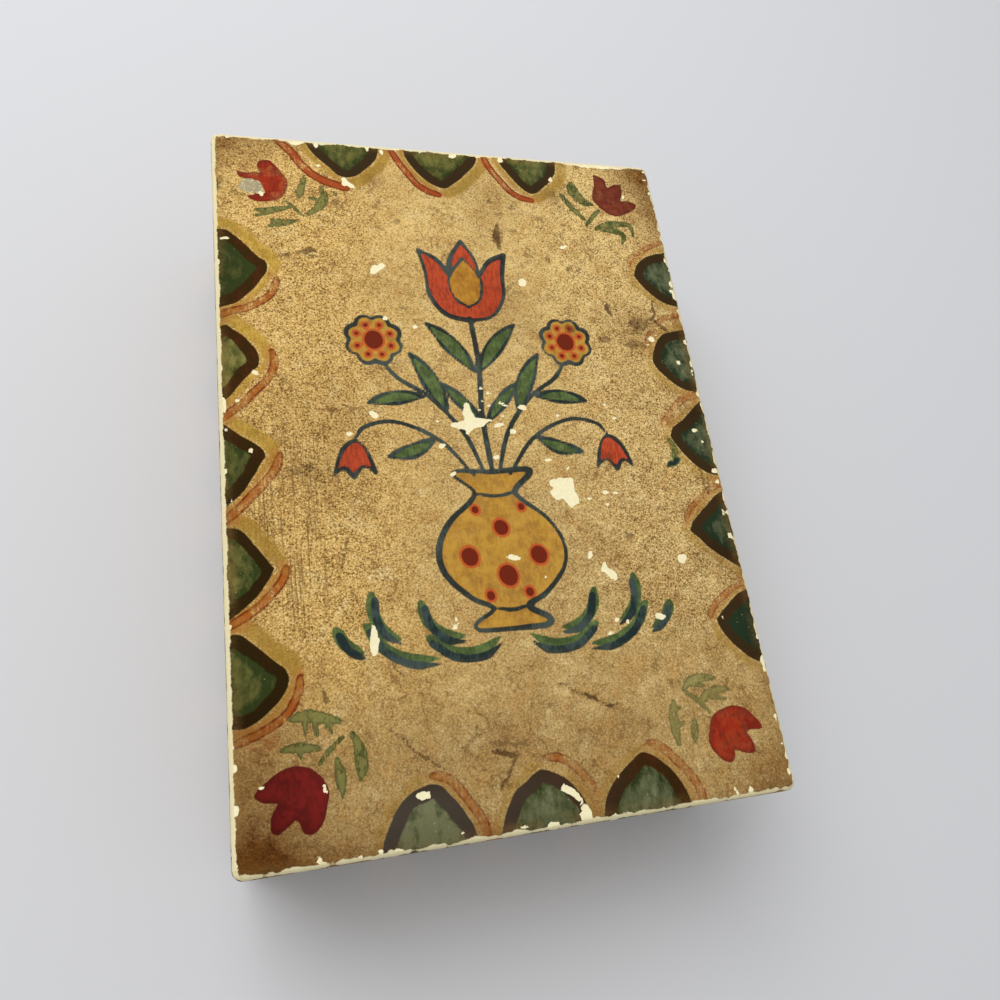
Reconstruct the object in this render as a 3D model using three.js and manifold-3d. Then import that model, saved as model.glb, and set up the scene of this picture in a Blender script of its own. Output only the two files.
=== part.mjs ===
// Painted wooden trinket box: four rabbeted walls, a let-in bottom and a flat lid on two brass butt hinges.
// Millimetres, +Z up. X runs across the short front and Y from the front (-Y) to the hinged back (+Y).
// The origin is under the middle of the box, on the plane that it stands on. The lid is shut.

import * as THREE from 'three';
import { mergeVertices } from 'three/addons/utils/BufferGeometryUtils.js';
import Module from 'manifold-3d';

const wasm = await Module();
wasm.setup();

// Boards
const boxWidth = 100;
const boxLength = 144;
const caseHeight = 31.7; // up to the rim
const wallThickness = 8;
const bottomThickness = 4;
const lidThickness = 8;
const cornerRadius = 1.8; // upright corners, seen from above
const arrisRadius = 1.1; // rounded edge round the lid's top
const lidGap = 0.3; // between the rim and the shut lid
const glueLine = 0.15; // between boards that are glued together

// Joints between the boards
const rabbetLip = 3; // wood that the front and back walls leave over the ends of the side walls
const ledgeWidth = 4; // step under the inside of each wall, which takes the bottom

// Stop: the back edges of case and lid are bevelled, and the bevels meet when the lid is open
const pinInset = 1.7; // hinge axis to the back of the box
const stopAngle = 100; // degrees at which the bevels would lie parallel
const stopGap = 0.3; // left between the bevels there

// Hinges
const hingeLength = 22;
const hingeInset = 13; // side of the box to the near end of a hinge
const leafWidth = 6.3; // hinge axis to the inner edge of a leaf
const leafThickness = 0.9;
const barrelRadius = 1.5;
const knuckleCount = 3; // odd, so that the case's leaf has the outer ones
const knuckleGap = 0.25;
const pinRadius = 0.75;
const pinClearance = 0.15;
const pinEnd = 0.25; // how far the pin's rounded ends stand out of the barrel
const mortiseClearance = 0.25; // round a leaf and its barrel, in the wood

// Hinge screws
const screwsPerLeaf = 2;
const screwLength = 6;
const screwRadius = 0.75;
const screwHeadRadius = 1.5;
const screwHeadDepth = 0.7;
const screwSlotWidth = 0.45;
const screwSlotDepth = 0.35;
const screwClearance = 0.2;

// Brads
const bradRadius = 0.6;
const bradHeadRadius = 1.05;
const bradHeadThickness = 0.5;
const bradSink = 0.15; // how far a head is driven below the face
const bradClearance = 0.2;
const bradsPerCorner = 2;
const cornerBradLength = 15;
const bradsPerLedge = 2;
const ledgeBradLength = 12;

// Flats that stand for a round piece
const hingeSides = 16;
const bradSides = 10;
const cornerSteps = 5;
const arrisSteps = 4;

// Places that follow from the sizes
const halfWidth = boxWidth / 2;
const halfLength = boxLength / 2;
const innerX = halfWidth - wallThickness;
const innerY = halfLength - wallThickness;
const lidBottom = caseHeight + lidGap;
const lidTop = lidBottom + lidThickness;
const axisY = halfLength - pinInset;
const axisZ = caseHeight + lidGap / 2;
const barrelRoom = barrelRadius + mortiseClearance;
const screwY = axisY - (barrelRoom + leafWidth) / 2;
const past = 1; // how far a cutter runs past the face that it cuts

// The case lies below the hinge axis and the lid above it.
const CASE = -1;
const LID = 1;

const widened = ([low, high], by) => [low - by, high + by];

// Places of a row of pieces, each in the middle of its share of the length, counted from the row's middle.
const evenly = (count, length) => Array.from({ length: count }, (_, i) => ((i + 0.5) / count - 0.5) * length);

// Closed mesh to solid, and back

function solid(geometry) {
  const bare = geometry.index ? geometry.toNonIndexed() : geometry.clone();
  bare.deleteAttribute('normal');
  bare.deleteAttribute('uv');
  const merged = mergeVertices(bare, 1e-4);
  return new wasm.Manifold(new wasm.Mesh({
    numProp: 3,
    vertProperties: new Float32Array(merged.attributes.position.array),
    triVerts: new Uint32Array(merged.index.array),
  }));
}

function geometryOf(body) {
  const mesh = body.getMesh();
  const geometry = new THREE.BufferGeometry();
  geometry.setAttribute('position', new THREE.BufferAttribute(mesh.vertProperties, 3));
  geometry.setIndex(new THREE.BufferAttribute(mesh.triVerts, 1));
  geometry.computeVertexNormals();
  return geometry;
}

const join = (bodies) => bodies.reduce((whole, body) => whole.add(body));
const cut = (body, cutters) => cutters.reduce((left, cutter) => left.subtract(cutter), body);

// Simple bodies

function block([x0, x1], [y0, y1], [z0, z1]) {
  const box = new THREE.BoxGeometry(x1 - x0, y1 - y0, z1 - z0);
  return solid(box.translate((x0 + x1) / 2, (y0 + y1) / 2, (z0 + z1) / 2));
}

// A round rod along X, in line with the hinges.
function hingeRod(radius, [x0, x1]) {
  const rod = new THREE.CylinderGeometry(radius, radius, x1 - x0, hingeSides);
  return solid(rod.rotateZ(Math.PI / 2).translate((x0 + x1) / 2, axisY, axisZ));
}

// A profile of [radius, height] points, lowest first, turned about +Z.
function turned(profile, sides) {
  const points = profile.map(([radius, height]) => new THREE.Vector2(radius, height));
  return new THREE.LatheGeometry(points, sides).rotateX(Math.PI / 2);
}

// Wooden boards

function lidOutline() {
  const x = halfWidth - cornerRadius;
  const y = halfLength - cornerRadius;
  const turn = Math.PI / 2;
  const shape = new THREE.Shape();
  shape.absarc(x, -y, cornerRadius, -turn, 0, false);
  shape.absarc(x, y, cornerRadius, 0, turn, false);
  shape.absarc(-x, y, cornerRadius, turn, 2 * turn, false);
  shape.absarc(-x, -y, cornerRadius, 2 * turn, 3 * turn, false);
  return shape;
}

// Front wall from above: full width outside, with a rabbet at each end that takes a side wall.
function frontOutline() {
  const x = halfWidth - cornerRadius;
  const y = -halfLength + cornerRadius;
  const shoulder = innerX - glueLine;
  const lip = -halfLength + rabbetLip;
  const turn = Math.PI / 2;
  const shape = new THREE.Shape();
  shape.absarc(-x, y, cornerRadius, 2 * turn, 3 * turn, false);
  shape.absarc(x, y, cornerRadius, -turn, 0, false);
  shape.lineTo(halfWidth, lip);
  shape.lineTo(shoulder, lip);
  shape.lineTo(shoulder, -innerY);
  shape.lineTo(-shoulder, -innerY);
  shape.lineTo(-shoulder, lip);
  shape.lineTo(-halfWidth, lip);
  return shape;
}

function frontBoard() {
  const board = new THREE.ExtrudeGeometry(frontOutline(), {
    depth: caseHeight,
    bevelEnabled: false,
    curveSegments: cornerSteps,
  });
  return solid(board);
}

// The room that the bottom and its glue line take up under the walls.
function bottomRoom() {
  const x = innerX + ledgeWidth;
  const y = innerY + ledgeWidth;
  return block([-x, x], [-y, y], [-past, bottomThickness + glueLine]);
}

function frontWall() {
  return cut(frontBoard(), [bottomRoom(), ...bradRooms()]);
}

function backWall() {
  const board = frontBoard().rotate([0, 0, 180]);
  return cut(board, [bottomRoom(), ...bradRooms(), backBevel(CASE), ...hingeRooms(CASE)]);
}

function sideWall(side) {
  const end = halfLength - rabbetLip - glueLine;
  const acrossX = [side * innerX, side * halfWidth].sort((a, b) => a - b);
  return cut(block(acrossX, [-end, end], [0, caseHeight]), [bottomRoom(), ...bradRooms()]);
}

function bottomPanel() {
  const x = innerX + ledgeWidth - glueLine;
  const y = innerY + ledgeWidth - glueLine;
  return cut(block([-x, x], [-y, y], [0, bottomThickness]), bradRooms());
}

// The lid is a flat board with rounded upright corners and a rounded arris round its top.
function lidPanel() {
  const arris = Math.min(arrisRadius, 0.8 * cornerRadius);
  const board = new THREE.ExtrudeGeometry(lidOutline(), {
    depth: lidThickness,
    bevelThickness: arris,
    bevelSize: arris,
    bevelOffset: -arris,
    bevelSegments: arrisSteps,
    curveSegments: cornerSteps,
  });
  board.translate(0, 0, lidTop - arris - lidThickness);
  const below = block([-boxWidth, boxWidth], [-boxLength, boxLength], [lidBottom - 2 * lidThickness, lidBottom]);
  return cut(solid(board), [below, backBevel(LID), ...hingeRooms(LID)]);
}

// The face of the rim or of the lid's underside, and a stretch that runs out of and into its board.
const faceOf = (half) => axisZ + half * lidGap / 2;
const fromFace = (half, out, deep) => [faceOf(half) - half * out, faceOf(half) + half * deep].sort((a, b) => a - b);

// The wedge that bevels a back edge. Its plane passes half the stop's gap from the hinge axis,
// so the two bevels lie parallel, with that gap, at the stop's angle.
function backBevel(half) {
  const slope = THREE.MathUtils.degToRad(stopAngle / 2);
  const rise = stopGap / 2 / Math.cos(slope);
  const start = (lidGap / 2 - rise) / Math.tan(slope);
  const far = pinInset + past;
  const points = [
    [start, half * lidGap / 2],
    [far, half * (far * Math.tan(slope) + rise)],
    [far, 0],
    [start - past, 0],
    [start - past, half * lidGap / 2],
  ];
  const outline = new THREE.Shape(points.map(([y, z]) => new THREE.Vector2(axisY + y, axisZ + z)));
  const wedge = new THREE.ExtrudeGeometry(outline, { depth: boxWidth + 2 * past, bevelEnabled: false });
  wedge.rotateY(Math.PI / 2).rotateX(Math.PI / 2);
  return solid(wedge.translate(-halfWidth - past, 0, 0));
}

// Hinges

const hinges = [['left_hinge', -1], ['right_hinge', 1]].map(([name, side]) => {
  const x = side * (halfWidth - hingeInset - hingeLength / 2);
  return { name, x, span: [x - hingeLength / 2, x + hingeLength / 2] };
});

const screwPlaces = (hinge) => evenly(screwsPerLeaf, hingeLength).map((x) => hinge.x + x);

// Stretches of the barrel that belong to a leaf: the first, third and so on are the case's.
function knuckleSpans(hinge, half) {
  const pitch = (hingeLength + knuckleGap) / knuckleCount;
  const spans = Array.from({ length: knuckleCount }, (_, i) => {
    const start = hinge.span[0] + i * pitch;
    return [start, start + pitch - knuckleGap];
  });
  return spans.filter((_, i) => i % 2 === (half === LID ? 1 : 0));
}

function hingeLeaf(hinge, half) {
  const levels = fromFace(half, 0, leafThickness);
  const spans = knuckleSpans(hinge, half);
  const plate = block(hinge.span, [axisY - leafWidth, axisY - barrelRoom], levels);
  const tabs = spans.map((span) => block(span, [axisY - barrelRoom - past, axisY], levels));
  const knuckles = spans.map((span) => hingeRod(barrelRadius, span));
  const bore = hingeRod(pinRadius + pinClearance, widened(hinge.span, past));
  const countersinks = screwPlaces(hinge).map((x) => solid(placedScrew(countersinkProfile(), x, half)));
  return cut(join([plate, ...tabs, ...knuckles]), [bore, ...countersinks]);
}

function hingePin(hinge) {
  const end = hingeLength / 2;
  const upperHalf = [[pinRadius, end], [0.6 * pinRadius, end + 0.7 * pinEnd], [0, end + pinEnd]];
  const lowerHalf = upperHalf.map(([radius, height]) => [radius, -height]).reverse();
  const pin = turned([...lowerHalf, ...upperHalf], hingeSides).rotateY(Math.PI / 2);
  return solid(pin.translate(hinge.x, axisY, axisZ));
}

// What is cut from the wood for the leaves: a bed, half of the barrel's groove and the screws' holes.
function hingeRooms(half) {
  return hinges.flatMap((hinge) => {
    const span = widened(hinge.span, mortiseClearance);
    const bed = fromFace(half, past, leafThickness + mortiseClearance);
    return [
      block(span, [axisY - leafWidth - mortiseClearance, axisY], bed),
      hingeRod(barrelRoom, widened(span, pinEnd)),
      ...screwPlaces(hinge).map((x) => solid(placedScrew(screwHoleProfile(), x, half))),
    ];
  });
}

// Hinge screws, point down, with the head's face at height 0

function screwProfile(grown = 0) {
  const head = screwHeadRadius + grown;
  const shank = screwRadius + grown;
  const rim = 0.1 * screwHeadDepth;
  return [[0, -screwLength], [shank, -screwLength + 2 * screwRadius], [shank, -screwHeadDepth], [head, -rim]];
}

function countersinkProfile() {
  const head = screwHeadRadius + screwClearance;
  return [...screwProfile(screwClearance), [head, past], [0, past]];
}

function screwHoleProfile() {
  const radius = screwRadius + screwClearance;
  const bottom = -screwLength - screwClearance;
  return [[0, bottom], [radius, bottom], [radius, past], [0, past]];
}

// Stands a turned shape in its leaf: downwards in the case and upwards in the lid.
function placedScrew(profile, x, half) {
  const shape = turned(profile, hingeSides);
  const standing = half === LID ? shape.rotateX(Math.PI) : shape;
  return standing.translate(x, screwY, faceOf(half));
}

function hingeScrew(x, half) {
  const profile = [...screwProfile(), [0.93 * screwHeadRadius, 0], [0, 0]];
  const slot = block(
    widened([x, x], screwSlotWidth / 2),
    widened([screwY, screwY], screwHeadRadius + past),
    fromFace(half, past, screwSlotDepth),
  );
  return solid(placedScrew(profile, x, half)).subtract(slot);
}

// Brads, point down, with the head's face at height 0

const bradProfile = (length) => [
  [0, -length],
  [bradRadius, -length + 2.5 * bradRadius],
  [bradRadius, -bradHeadThickness],
  [bradHeadRadius, -bradHeadThickness],
  [bradHeadRadius, -0.2 * bradHeadThickness],
  [0.75 * bradHeadRadius, 0],
  [0, 0],
];

function bradRoomProfile(length) {
  const shank = bradRadius + bradClearance;
  const head = bradHeadRadius + bradClearance;
  const bottom = -length - bradClearance;
  const seat = -bradHeadThickness - bradClearance;
  return [[0, bottom], [shank, bottom], [shank, seat], [head, seat], [head, past], [0, past]];
}

// A brad has its length, and a function that stands a turned shape in its place.
// The corner brads go through the lips of the front and back walls into the ends of the side walls.
function cornerBrads() {
  const x = halfWidth - wallThickness / 2;
  const y = halfLength - bradSink;
  const corners = [['front_left', -x, -y], ['front_right', x, -y], ['back_left', -x, y], ['back_right', x, y]];
  return corners.flatMap(([corner, cornerX, face]) => evenly(bradsPerCorner, caseHeight).map((z, i) => ({
    name: `${corner}_brad_${i + 1}`,
    length: cornerBradLength,
    stand: (shape) => shape.rotateX(-Math.sign(face) * Math.PI / 2).translate(cornerX, face, caseHeight / 2 + z),
  })));
}

// The ledge brads go up through the bottom into each wall.
function ledgeBrads() {
  const x = innerX + ledgeWidth / 2;
  const y = innerY + ledgeWidth / 2;
  const rows = [
    { wall: 'left', length: boxLength, place: (along) => [-x, along] },
    { wall: 'right', length: boxLength, place: (along) => [x, along] },
    { wall: 'front', length: boxWidth, place: (along) => [along, -y] },
    { wall: 'back', length: boxWidth, place: (along) => [along, y] },
  ];
  return rows.flatMap(({ wall, length, place }) => evenly(bradsPerLedge, length).map((along, i) => ({
    name: `bottom_${wall}_brad_${i + 1}`,
    length: ledgeBradLength,
    stand: (shape) => shape.rotateX(Math.PI).translate(...place(along), bradSink),
  })));
}

const brads = () => [...cornerBrads(), ...ledgeBrads()];
const bradSolid = (brad, profile) => solid(brad.stand(turned(profile(brad.length), bradSides)));
const bradRooms = () => brads().map((brad) => bradSolid(brad, bradRoomProfile));

// Finishes
const paint = { color: 0xb08c55, roughness: 0.6, metalness: 0 };
const bareWood = { color: 0xc79a63, roughness: 0.75, metalness: 0 };
const brass = { color: 0xb08a3e, roughness: 0.4, metalness: 1 };
const steel = { color: 0x6f675e, roughness: 0.6, metalness: 0.8 };

// The assembly
const box = new THREE.Group();

function add(name, body, finish) {
  const mesh = new THREE.Mesh(geometryOf(body), new THREE.MeshStandardMaterial(finish));
  mesh.name = name;
  box.add(mesh);
}

add('front_wall', frontWall(), paint);
add('back_wall', backWall(), paint);
add('left_wall', sideWall(-1), paint);
add('right_wall', sideWall(1), paint);
add('bottom_panel', bottomPanel(), bareWood);
add('lid_panel', lidPanel(), paint);

for (const hinge of hinges) {
  add(`${hinge.name}_case_leaf`, hingeLeaf(hinge, CASE), brass);
  add(`${hinge.name}_lid_leaf`, hingeLeaf(hinge, LID), brass);
  add(`${hinge.name}_pin`, hingePin(hinge), brass);
  screwPlaces(hinge).forEach((x, i) => {
    add(`${hinge.name}_case_screw_${i + 1}`, hingeScrew(x, CASE), brass);
    add(`${hinge.name}_lid_screw_${i + 1}`, hingeScrew(x, LID), brass);
  });
}

for (const brad of brads()) add(brad.name, bradSolid(brad, bradProfile), steel);

export default box;
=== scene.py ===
import math

import bpy
import numpy as np
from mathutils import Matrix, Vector


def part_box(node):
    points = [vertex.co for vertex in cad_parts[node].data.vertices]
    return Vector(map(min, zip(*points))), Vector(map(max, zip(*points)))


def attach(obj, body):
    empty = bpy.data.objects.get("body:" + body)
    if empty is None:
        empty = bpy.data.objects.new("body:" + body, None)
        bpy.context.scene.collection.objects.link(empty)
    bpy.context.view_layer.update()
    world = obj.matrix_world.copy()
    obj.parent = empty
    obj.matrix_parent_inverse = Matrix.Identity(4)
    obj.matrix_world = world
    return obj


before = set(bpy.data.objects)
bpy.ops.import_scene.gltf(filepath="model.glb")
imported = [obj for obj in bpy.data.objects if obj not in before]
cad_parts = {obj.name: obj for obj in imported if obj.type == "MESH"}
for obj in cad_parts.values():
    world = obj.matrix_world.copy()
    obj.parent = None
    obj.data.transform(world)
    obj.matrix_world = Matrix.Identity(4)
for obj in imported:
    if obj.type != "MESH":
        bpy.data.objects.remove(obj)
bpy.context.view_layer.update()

# Painted wooden trinket box. Places in the drawing code are millimetres in the frame of the CAD model.
MM = 0.001

# Camera, solved from the four corners of the lid
CAMERA_PLACE = (-43.79, -63.52, 181.25)
CAMERA_TURN = (21.30, -14.62, -8.20)
CAMERA_LENS = 29.34
SENSOR_WIDTH = 36.0

# Boards, as the CAD model has them
CORNER_RADIUS = 1.8
ARRIS_RADIUS = 1.1
BEVEL_START = 70.23
BEVEL_SLOPE = math.tan(math.radians(50))

# Paint skin
PAINT_BASE = 0.03
PAINT_DEPTH = 0.09
BAND_WIDTH = 2.5
SKIN_GAP = 0.01
GRID_STEP = 0.47
SIDE_STEP = 0.62
ARRIS_STEPS = 5
LID_SKIRT_END = 0.15
CASE_SKIN_LOW = 0.3
CASE_SKIN_HIGH = 31.6
CASE_STEP = 0.75
SHARP_ANGLE = 50
SEED = 7

# Signed distance where nothing is painted, and how far round a shape its distances are worked out
FAR = -9.0
DRAW_REACH = 9.0

# Brads in the front and back walls, which the paint leaves showing
BRAD_X = 46.0
BRAD_HEIGHTS = (7.925, 23.775)
BRAD_HOLE = 1.2
BRAD_CELL = 0.9

# Layers of the painting: one signed distance in mm each, positive inside the shapes
LAYERS = (
    "scallop", "halo", "wash", "orange", "bloom", "leaf", "ochre", "petal", "bottle", "dots", "line",
    "chip", "stain", "crack", "bare",
)

low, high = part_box("lid_panel")
HALF_WIDTH = high.x / MM
HALF_LENGTH = high.y / MM
LID_TOP = high.z / MM
LID_BOTTOM = low.z / MM
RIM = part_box("left_wall")[1].z / MM

# The lid's top inside its round corners, the flat strip round that, and the arris's length along its curve
CORE_X = HALF_WIDTH - CORNER_RADIUS
CORE_Y = HALF_LENGTH - CORNER_RADIUS
FLAT = CORNER_RADIUS - ARRIS_RADIUS
ARRIS_LENGTH = ARRIS_RADIUS * math.pi / 2


# Curves and outlines

def smooth(points, steps=6):
    """Points on a smooth curve through the given ones: a Catmull-Rom cubic between each two of them."""
    rows = np.array(points, float)
    ends = np.vstack([2 * rows[0] - rows[1], rows, 2 * rows[-1] - rows[-2]])
    before, start, end, after = ends[:-3, None], ends[1:-2, None], ends[2:-1, None], ends[3:, None]
    t = np.linspace(0, 1, steps, endpoint=False)[None, :, None]
    linear = (end - before) * t
    square = (2 * before - 5 * start + 4 * end - after) * t ** 2
    cube = (3 * start - before - 3 * end + after) * t ** 3
    curve = start + 0.5 * (linear + square + cube)
    return np.vstack([curve.reshape(-1, rows.shape[1]), rows[-1:]])


def outline(*arcs):
    """A closed outline of smooth arcs that meet in points, each arc from the end of the one before."""
    ends = [arcs[-1][-1]] + [arc[-1] for arc in arcs[:-1]]
    whole = [smooth([start] + list(arc)) for start, arc in zip(ends, arcs)]
    return np.vstack([curve[:-1] for curve in whole])


def bent(start, control, end, steps=12):
    """Points on the parabola from start to end whose end tangents meet at control."""
    t = np.linspace(0, 1, steps)[:, None]
    return (1 - t) ** 2 * np.array(start) + 2 * t * (1 - t) * np.array(control) + t ** 2 * np.array(end)


def mirrored(points):
    """The same points on the other side of the middle, in reverse order."""
    rows = np.array(points, float)[::-1].copy()
    rows[:, 0] *= -1
    return rows


# Painting

def off_line(u, v, start, end):
    """The place on a straight line that is nearest to each point, as a share of its length, and how far off
    the point is."""
    side = end[:2] - start[:2]
    along = ((u - start[0]) * side[0] + (v - start[1]) * side[1]) / max(side @ side, 1e-9)
    along = np.clip(along, 0, 1)
    return along, np.hypot(u - start[0] - along * side[0], v - start[1] - along * side[1])


class Canvas:
    """A painted face rolled out flat: where its points lie, and one signed distance per layer of paint."""

    def __init__(self, u, v):
        self.u = u
        self.v = v
        self.layers = {name: np.full(u.shape, FAR) for name in LAYERS}
        self.pale = np.zeros(u.shape)

    def near(self, line):
        """The points within reach of a line, so that a small shape costs little."""
        lowest = line[:, :2].min(0) - DRAW_REACH
        highest = line[:, :2].max(0) + DRAW_REACH
        across = (self.u > lowest[0]) & (self.u < highest[0])
        return across & (self.v > lowest[1]) & (self.v < highest[1])

    def lay(self, layer, where, field):
        """Adds a shape to a layer: the larger signed distance holds."""
        old = self.layers[layer]
        old[where] = np.maximum(old[where], field)

    def stroke(self, layer, line):
        """A brush stroke along rows of x, y and half width: half width less distance to the nearest part."""
        line = np.array(line, float)
        where = self.near(line)
        u, v = self.u[where], self.v[where]
        field = np.full(u.shape, FAR)
        for start, end in zip(line[:-1], line[1:]):
            along, away = off_line(u, v, start, end)
            field = np.maximum(field, start[2] + along * (end[2] - start[2]) - away)
        self.lay(layer, where, field)

    def fill(self, layer, shape):
        """A closed shape: the distance to its nearest side, positive where a ray crosses its sides an odd
        number of times."""
        shape = np.array(shape, float)
        where = self.near(shape)
        u, v = self.u[where], self.v[where]
        away = np.full(u.shape, -FAR)
        crossed = np.zeros(u.shape, bool)
        for start, end in zip(shape, np.roll(shape, -1, 0)):
            away = np.minimum(away, off_line(u, v, start, end)[1])
            if start[1] != end[1]:
                level = (v > min(start[1], end[1])) & (v <= max(start[1], end[1]))
                crossing = start[0] + (v - start[1]) * (end[0] - start[0]) / (end[1] - start[1])
                crossed ^= level & (u < crossing)
        self.lay(layer, where, np.where(crossed, away, -away))

    def spot(self, layer, x, y, across, along=None, turn=0):
        """An oval spot with the given radii: how far inside its rim, measured on its shorter radius."""
        along = across if along is None else along
        turn = math.radians(turn)
        u = (self.u - x) * math.cos(turn) + (self.v - y) * math.sin(turn)
        v = (self.v - y) * math.cos(turn) - (self.u - x) * math.sin(turn)
        where = np.hypot(u, v) < DRAW_REACH
        inside = 1 - np.hypot(u[where] / across, v[where] / along)
        self.lay(layer, where, inside * min(across, along))


def tapered(line, wide, start, end):
    """A line with a half width, narrowed at its start and end to the given shares of it."""
    along = np.linspace(0, 1, len(line))
    swell = np.minimum(1, np.minimum(start + 3 * along, end + 3 * (1 - along)))
    return np.column_stack([line, wide * swell])


def brush(points, wide, start=0.35, end=0.35):
    """A smooth stroke through the given points."""
    return tapered(smooth(points), wide, start, end)


def almond(tip, root, wide, bend=0.0):
    """A leaf from root to tip: two parabolas whose controls stand off its middle, moved sideways by bend."""
    tip, root = np.array(tip, float), np.array(root, float)
    side = np.array([root[1] - tip[1], tip[0] - root[0]]) / np.linalg.norm(tip - root)
    middle = (tip + root) / 2 + side * bend
    there = bent(root, middle + side * wide, tip)
    back = bent(tip, middle - side * wide, root)
    return np.vstack([there[:-1], back[:-1]])


# Border scallops on the lid, going round it against the clock. Each is a smooth line of two numbers: place
# along the edge, and depth from it
LEFT_SCALLOPS = (
    ((47.4, 0), (47.3, 2.3), (46.1, 3.8), (45, 5.1), (43.2, 6.6), (41.2, 8.3), (40.2, 9.6), (38.9, 10),
     (37.6, 9.7), (36, 8.7), (34.3, 7.6), (32.3, 5.9), (30.4, 3.8), (29, 0)),
    ((24.2, 0), (25.5, 1.6), (24.4, 3.1), (23.3, 4.6), (21.6, 6), (20.1, 7.1), (18.3, 7.6), (16.6, 7.4),
     (15.5, 6.4), (13.9, 4.9), (11.8, 3.3), (9.9, 1.8), (8.8, 0)),
    ((5.2, 0), (4.5, 0.9), (3.3, 2.3), (1.8, 4.2), (0.3, 6.4), (-0.8, 7.5), (-1.9, 8), (-3.9, 6.8),
     (-6.5, 5.3), (-9.3, 3.4), (-11.6, 0.7), (-12, 0)),
    ((-15.4, 0), (-15.7, 2.5), (-16.9, 4), (-19.3, 5.7), (-21.3, 7.1), (-23.3, 8.5), (-25.7, 7.1),
     (-28.5, 4.9), (-31.7, 0.9), (-32.3, 0)),
    ((-34.2, 0), (-34.3, 2.3), (-35.6, 4), (-37.2, 5.7), (-39.4, 7.9), (-40.7, 9.4), (-42.2, 10),
     (-44.1, 9.4), (-46.1, 7.9), (-48.3, 5.3), (-49.6, 2.7), (-49.4, 0)),
)
FRONT_SCALLOPS = (
    ((-27.3, 0), (-26.8, 2.3), (-25.6, 4.7), (-24.2, 7), (-22.5, 8.6), (-20.8, 9.5), (-18.5, 10.1),
     (-16.7, 9.6), (-15.5, 8.3), (-14.2, 6.7), (-12.9, 4.5), (-11.9, 2.7), (-11.3, 0)),
    ((-7.6, 0), (-6.4, 3.2), (-5.3, 5.2), (-4, 7.1), (-2, 8.2), (-0.2, 9.5), (1, 9.9), (2.6, 9.4),
     (4.3, 8.5), (5.8, 7.3), (7, 5.7), (8, 4), (8.6, 2), (8.8, 0)),
    ((10.9, 0), (11.6, 2.6), (12.5, 4.3), (14, 6.2), (16, 7.8), (18, 9.1), (19.7, 10.2), (20.8, 10.3),
     (22.5, 9.4), (24, 8.1), (25.3, 6.8), (26.5, 5), (27.4, 3), (28.2, 0)),
)
RIGHT_SCALLOPS = (
    ((-49, 0), (-48.5, 0.9), (-47.4, 3.1), (-45.5, 5.3), (-43.3, 7.1), (-41.3, 8.3), (-39.2, 8.9),
     (-37.6, 7.1), (-35.9, 4.9), (-34.4, 2.7), (-33.6, 0)),
    ((-29.9, 0), (-29.1, 1), (-26.7, 4.3), (-24.5, 6.9), (-22.4, 8.7), (-20.8, 10.3), (-18.9, 9.1),
     (-17.3, 7.3), (-15.4, 5), (-13.6, 2.8), (-12.2, 0)),
    ((-9.2, 0), (-8.6, 2.8), (-7.1, 5), (-5, 6.9), (-2, 8.9), (0.2, 9.9), (2.1, 8.9), (3.6, 6.6),
     (5.4, 4.4), (7.3, 2.2), (8.8, 0)),
    ((10.3, 0), (11.1, 3.7), (12.4, 5.9), (14.3, 7.7), (16.1, 9.2), (17.8, 10), (19.3, 9.8), (21.3, 9),
     (23.4, 7.7), (24.9, 6.1), (25.6, 3.7), (26.4, 0)),
    ((32, 0), (32.7, 2.7), (33.5, 4.5), (35.1, 6.4), (36.8, 7.9), (38.5, 9.1), (40.1, 9.9), (41.4, 9.5),
     (43.1, 8.6), (44.6, 7.1), (45.7, 5.3), (46.4, 3), (47, 0)),
)
BACK_SCALLOPS = (
    ((26.4, 0), (25.7, 3.8), (25, 5.3), (23.8, 7), (22.3, 8.4), (21, 9.6), (20, 10.4), (18.8, 10.7),
     (17.5, 10), (16.2, 8.7), (15, 7), (13.6, 4.7), (12.6, 3), (11.9, 0)),
    ((7.2, 0), (6.8, 2.7), (5.8, 4.3), (3.9, 6.4), (2, 8.4), (0.3, 9.8), (-1, 10.7), (-2.3, 10.8),
     (-3.2, 10.4), (-5, 9.3), (-6.9, 7.3), (-8.4, 5), (-9.4, 3), (-9.8, 0)),
    ((-15, 0), (-15.7, 3.4), (-17, 5.5), (-19, 7.6), (-20.8, 9.1), (-22.6, 9.7), (-24.5, 9.2),
     (-26, 7.5), (-28, 5.5), (-30, 3), (-31.2, 0)),
)

# How deep the fold over the edge is as a share of the depth on top, the curve's steps between two points, and
# how far out a scallop's paleness is set
SCALLOP_FOLD = 0.62
SCALLOP_STEPS = 4
PALE_REACH = 0.6

# How pale the green in each scallop is
LEFT_GREENS = (0.06, 0.84, 0.26, 0.34, 0.24)
FRONT_GREENS = (1.05, 0.55, 0.5)
RIGHT_GREENS = (0.02, 0.14, 0.3, 0.38, 0.42)
BACK_GREENS = (0.46, 0.42, 0.36)

# Ochre beside a scallop: how far out it lies, and its half width, before the apex and after it
HALO_WIDE = (1.5, 1.45)
HALO_NARROW = (0.95, 0.85)
HALO_AFTER = (0.75, 0.75)

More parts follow.
